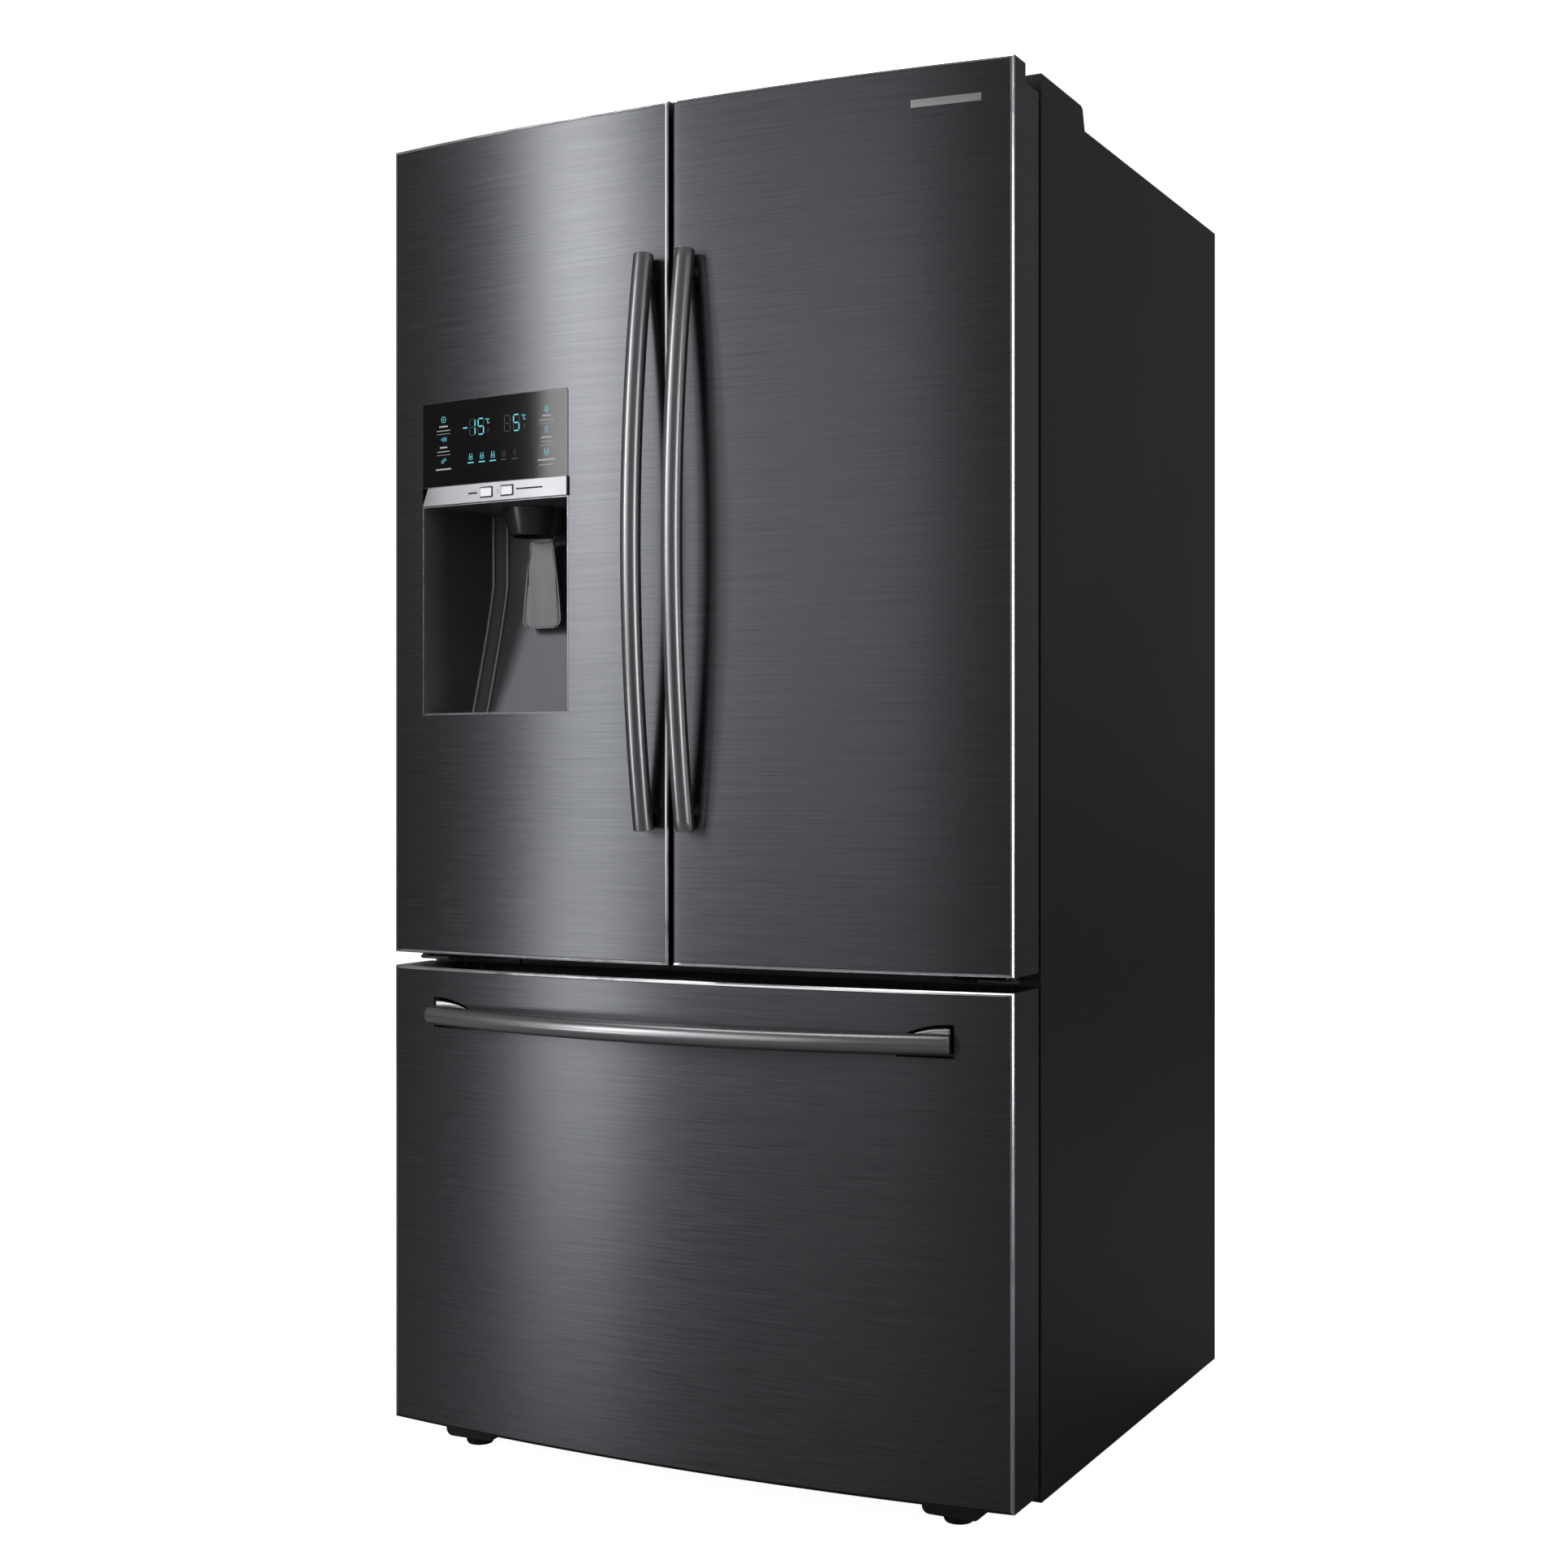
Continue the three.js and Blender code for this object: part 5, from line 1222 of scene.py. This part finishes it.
def screw_head(name, place, turn, radius, height, metal, body):
    """The domed cross head of a screw, standing on a face. The shaft is left out."""
    clear()
    bpy.ops.mesh.primitive_cylinder_add(vertices=20, radius=radius, depth=height)
    head = bpy.context.object
    head.name = name
    open_edit(head)
    pick(lambda f: f.normal.z > 0.9, "FACE")
    bpy.ops.mesh.bevel(offset=height * 0.6, segments=3)
    close_edit()
    coat(head, metal)
    long, narrow = radius * 0.95 / 2, radius * 0.22 / 2
    for x, y in ((long, narrow), (narrow, long)):
        slot_cut = start_cube("cross", (-x, -y, 0), (x, y, height))
        cut_out(head, slot_cut)
    take(head)
    head.rotation_euler = turn
    head.location = place
    settle()
    finish_shape(head)
    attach(head, body)
    return head


def copy_at(piece, name, move, body):
    """A copy of a piece, moved, and attached to a body."""
    twin = twin_of(piece, name)
    twin.location = move
    settle()
    clear()
    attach(twin, body)


FACE_FRONT = (math.pi / 2, 0, 0)
FACE_BACK = (-math.pi / 2, 0, 0)
SCREW_X = 0.400
INNER_SCREW_X = 0.372
screw_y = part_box("outer_case")[0].y - 0.0035 - 0.001
screw_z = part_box("left_middle_hinge")[0].z + 0.013
hinge_screw = screw_head("hinge_screw_left_1", (-SCREW_X, screw_y, screw_z), FACE_FRONT, 0.0042, 0.0026,
                         ring_metal, "cabinet")
for number, x in ((2, -INNER_SCREW_X), (3, SCREW_X), (4, INNER_SCREW_X)):
    copy_at(hinge_screw, f"hinge_screw_{number}", (x + SCREW_X, 0, 0), "cabinet")

# ---- Feet and rollers ----
# Black moulded levelling feet screw up into moulded blocks under the front corners. Two plain rollers
# on short axles carry the back.
dress(mould_black, 0.0012, "left_foot_bracket", "right_foot_bracket", "left_foot", "right_foot")
dress(mould_black, 0.0010, "left_rear_roller", "right_rear_roller")

# ---- Case ----
# A folded steel case painted satin near-black, closed at the back by a ribbed zinc panel over a
# slotted cover. The compressor, condenser and fan stand on a pan behind that cover.
CASE_COLOR = (0.0125, 0.0125, 0.0150)
case_paint = Look("case_paint", CASE_COLOR, 0.0, 0.42)
case_paint.worn(1.2, 0.40, 0.46)
orange_peel = case_paint.group(SOFT_PATCHES, Size=700, Low=0, High=1)
case_paint.shades(orange_peel.outputs["Mask"], scaled(CASE_COLOR, 0.9), scaled(CASE_COLOR, 1.15))
case_paint.bump(orange_peel.outputs["Value"], 0.00003, 0.5)
dress(case_paint, 0.0015, "outer_case")

foam = Look("foam", (0.70, 0.62, 0.38), 0.0, 0.9)
foam.worn(120, 0.85, 0.95, (0.6, 0.52, 0.3), (0.75, 0.68, 0.44))
dress(foam, 0.0005, "cabinet_foam")
dress(zinc, 0.0006, "machine_cover", "base_pan", "condenser", "evaporator")
dress(zinc, 0.0006, "left_fixed_rail", "right_fixed_rail", "drawer_frame")
dress(mould_black, 0.003, "compressor")

back_low, back_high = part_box("back_panel")
RIB_DEPTH = 0.0025
RIB_HALF = 0.012
back = start_cube("back_panel_fine", back_low, back_high)
coat(back, zinc)
pick(lambda f: f.normal.y > 0.9, "FACE")
bpy.ops.mesh.inset(thickness=0.045)
bpy.ops.mesh.inset(thickness=0.004, depth=RIB_DEPTH)
ribs_x = evenly(back_low.x, back_high.x, 6)[1:-1]
slice_at("x", [x + half for x in ribs_x for half in (-RIB_HALF, RIB_HALF)])
for x in ribs_x:
    pick(lambda f: f.normal.y > 0.9 and middle_of(f).y > back_high.y + 0.001
         and abs(middle_of(f).x - x) < RIB_HALF, "FACE")
    bpy.ops.mesh.inset(thickness=0.004, depth=-RIB_DEPTH)
finish_shape(back)
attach(back, "cabinet")
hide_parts("back_panel")
cover_low, cover_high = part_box("machine_cover")
SCREW_MARGIN = 0.02
cover_screw = screw_head(
    "cover_screw_1", (cover_low.x + SCREW_MARGIN, cover_high.y + 0.0006, cover_low.z + SCREW_MARGIN),
    FACE_BACK, 0.0045, 0.0022, zinc, "cabinet")
number = 2
for x in (0, 0.29, 0.57, cover_high.x - cover_low.x - 2 * SCREW_MARGIN):
    for z in (0, cover_high.z - cover_low.z - 2 * SCREW_MARGIN):
        if x or z:
            copy_at(cover_screw, f"cover_screw_{number}", (x, 0, z), "cabinet")
            number += 1

# ---- Liners, gaskets and flap ----
# Vacuum-formed white liners, dark only where a door's core shows in its hinge notch, with soft grey
# magnetic gaskets round the doors and drawer. A sprung flap covers the gap between the two doors.
WHITE = (0.80, 0.81, 0.82)
liner_white = Look("liner_white", WHITE, 0.0, 0.32)
liner_white.worn(900, 0.30, 0.40, scaled(WHITE, 0.96), scaled(WHITE, 1.02))
dress(liner_white, 0.004, "fridge_liner", "freezer_liner")
dress(liner_white, 0.003, "ice_maker")

core = Look("door_core", WHITE, 0.0, 0.34)
core.worn(900, 0.30, 0.40)
depth = core.add("ShaderNodeSeparateXYZ")
core.join(core.coords, depth.inputs["Vector"])
behind_skin = core.add("ShaderNodeMath", {1: panel_back - 0.003}, operation="GREATER_THAN")
core.join(depth.outputs["Y"], behind_skin.inputs[0])
core.shades(behind_skin.outputs[0], (0.015, 0.015, 0.017), WHITE)
dress(core, 0.004, "left_door_liner", "right_door_liner", "drawer_liner")

gasket_grey = Look("gasket_grey", (0.22, 0.22, 0.23), 0.0, 0.62)
# Fine bands across each gasket: bumped as real folds, and darker in their hollows as painted shade.
gasket_folds_and_shade = gasket_grey.add("ShaderNodeTexWave", {"Scale": 120}, wave_type="BANDS", bands_direction="Y")
gasket_grey.join(gasket_grey.coords, gasket_folds_and_shade.inputs["Vector"])
gasket_grey.shades(gasket_folds_and_shade.outputs["Fac"], (0.15, 0.15, 0.16), (0.26, 0.26, 0.27))
gasket_grey.bump(gasket_folds_and_shade.outputs["Fac"], 0.0004, 0.6)
gasket_grey.worn(60, 0.55, 0.70)
dress(gasket_grey, 0.002, "left_door_gasket", "right_door_gasket", "drawer_gasket")

FLAP_GREY = (0.30, 0.305, 0.31)
flap_grey = Look("flap_grey", FLAP_GREY, 0.0, 0.42)
flap_grey.worn(800, 0.38, 0.50, scaled(FLAP_GREY, 0.94), scaled(FLAP_GREY, 1.05))
dress(flap_grey, 0.001, "centre_flap")
dress(liner_white, 0.001, "condenser_fan")

# ---- Bins, crispers and basket ----
# Clear moulded bins, drawers and trays with straight sides. A brushed satin band is snapped round the
# top of each door bin and of the freezer tray, a little proud of it.
clear_plastic = Look("clear_plastic", (0.96, 0.975, 0.98), 0.0, 0.08)
clear_plastic.shader.inputs["Transmission Weight"].default_value = 0.9
clear_plastic.shader.inputs["IOR"].default_value = 1.25
clear_plastic.worn(14, 0.05, 0.14, (0.94, 0.96, 0.965), (0.98, 0.99, 0.99))
DOOR_BINS = {"left_upper_bin": "left_door", "left_lower_bin": "left_door", "right_upper_bin": "right_door",
             "right_middle_bin": "right_door", "right_lower_bin": "right_door"}
dress(clear_plastic, 0.0012, *DOOR_BINS, "left_crisper", "right_crisper", "freezer_basket", "freezer_tray")

TRIM_COLOR = (0.56, 0.57, 0.58)
trim_satin = Look("trim_satin", TRIM_COLOR, 0.6, 0.34)
trim_satin.brushed((0.02, 1, 1), 300, 900, TRIM_COLOR, 0.08, (0.30, 0.38))

BAND_WALL = 0.0036
ABOVE_ALL = 3


def rim_band(name, node, body, height, spare):
    """A satin band snapped round the top of an open bin, a little proud of it."""
    low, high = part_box(node)
    band = start_cube(name, (low.x - spare, low.y - spare, high.z - height),
                      (high.x + spare, high.y + spare, high.z + 0.0006))
    close_edit()
    coat(band, trim_satin)
    hole = start_cube("band_hole", (low.x + BAND_WALL, low.y + BAND_WALL, low.z),
                      (high.x - BAND_WALL, high.y - BAND_WALL, ABOVE_ALL))
    cut_out(band, hole)
    open_edit(band)
    pick(lambda e: middle_of(e).z > high.z, "EDGE")
    bpy.ops.mesh.bevel(offset=0.0004, segments=2)
    finish_shape(band)
    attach(band, body)


for node, body in DOOR_BINS.items():
    rim_band(f"{node}_band", node, body, 0.011, 0.0007)
rim_band("freezer_tray_band", "freezer_tray", "freezer_tray", 0.010, 0.0005)

# ---- Shelves ----
# Tempered panes in moulded frames, each with a brushed satin strip clipped along its front edge. The
# crisper drawers under them have a grip of the same strip.
shelf_glass = Look("shelf_glass", (0.86, 0.93, 0.91), 0.0, 0.03)
shelf_glass.shader.inputs["Transmission Weight"].default_value = 0.92
shelf_glass.shader.inputs["IOR"].default_value = 1.3
shelf_glass.worn(9, 0.02, 0.06, (0.84, 0.91, 0.89), (0.90, 0.95, 0.94))
dress(shelf_glass, 0.0012, "crisper_cover", "upper_right_shelf", "lower_right_shelf", "lower_left_shelf")


def front_strip(name, node, margin, front, back, under, over, body):
    """A rounded satin strip along a node's front edge, between two heights measured from its top."""
    edge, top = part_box(node)
    low = (edge.x + margin, edge.y - front, top.z - under)
    high = (top.x - margin, edge.y + back, top.z + over)
    strip = start_cube(name, low, high)
    pick(lambda e: middle_of(e).y < low[1] + 1e-5 and abs((e.verts[0].co - e.verts[1].co).x) > 1e-4, "EDGE")
    bpy.ops.mesh.bevel(offset=min(0.003, (high[2] - low[2]) * 0.3), segments=3)
    coat(strip, trim_satin)
    finish_shape(strip)
    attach(strip, body)


for node in ("upper_right_shelf", "lower_right_shelf", "lower_left_shelf", "crisper_cover"):
    front_strip(f"{node}_strip", node, 0.0005, 0.002, 0.010, 0.0125, 0.0008, "cabinet")
for node in ("left_crisper", "right_crisper"):
    front_strip(f"{node}_grip", node, 0.059, 0.001, 0.0135, 0.023, -0.003, node)

# ---- Lamp and air duct ----
# A milky moulded cover hides the lamp in the ceiling. A slim white moulded duct with two columns of
# slots is clipped to the back wall, and carries cold air up from the freezer.
lamp_cover = Look("lamp_cover", (0.85, 0.88, 0.90), 0.0, 0.5)
lamp_cover.worn(60, 0.42, 0.56, (0.80, 0.83, 0.85), (0.88, 0.90, 0.92))
lamp_cover.shader.inputs["Emission Color"].default_value = (1, 1, 1, 1)
lamp_cover.shader.inputs["Emission Strength"].default_value = 6
ice_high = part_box("ice_maker")[1]
shelf_low, shelf_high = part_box("upper_right_shelf")
LAMP_HALF = 0.07
lamp = start_cube("fridge_lamp", (-LAMP_HALF, shelf_low.y + 0.01, ice_high.z - 0.009),
                  (LAMP_HALF, shelf_low.y + 0.09, ice_high.z - 0.0004))
pick(lambda f: f.normal.z < -0.9, "FACE")
bpy.ops.mesh.bevel(offset=0.004, segments=4)
coat(lamp, lamp_cover)
finish_shape(lamp)
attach(lamp, "cabinet")
duct_back = shelf_high.y + 0.0002
DUCT_HALF = 0.055
duct = start_cube("air_duct", (-DUCT_HALF, duct_back - 0.0115, shelf_low.z - 0.19),
                  (DUCT_HALF, duct_back - 0.0005, ice_high.z - 0.03))
pick(lambda e: middle_of(e).y < duct_back - 0.0110, "EDGE")
bpy.ops.mesh.bevel(offset=0.005, segments=3)
close_edit()
coat(duct, liner_white)
SLOT_HALF = 0.016
SLOT_HEIGHT = 0.007
SLOT_PITCH = 0.018
for level in range(5):
    z = shelf_low.z + 0.055 + level * SLOT_PITCH
    for x in (-0.024, 0.024):
        slot_hole = start_cube("duct_slot", (x - SLOT_HALF, duct_back - 0.03, z),
                               (x + SLOT_HALF, duct_back - 0.006, z + SLOT_HEIGHT))
        cut_out(duct, slot_hole)
finish_shape(duct)
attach(duct, "cabinet")
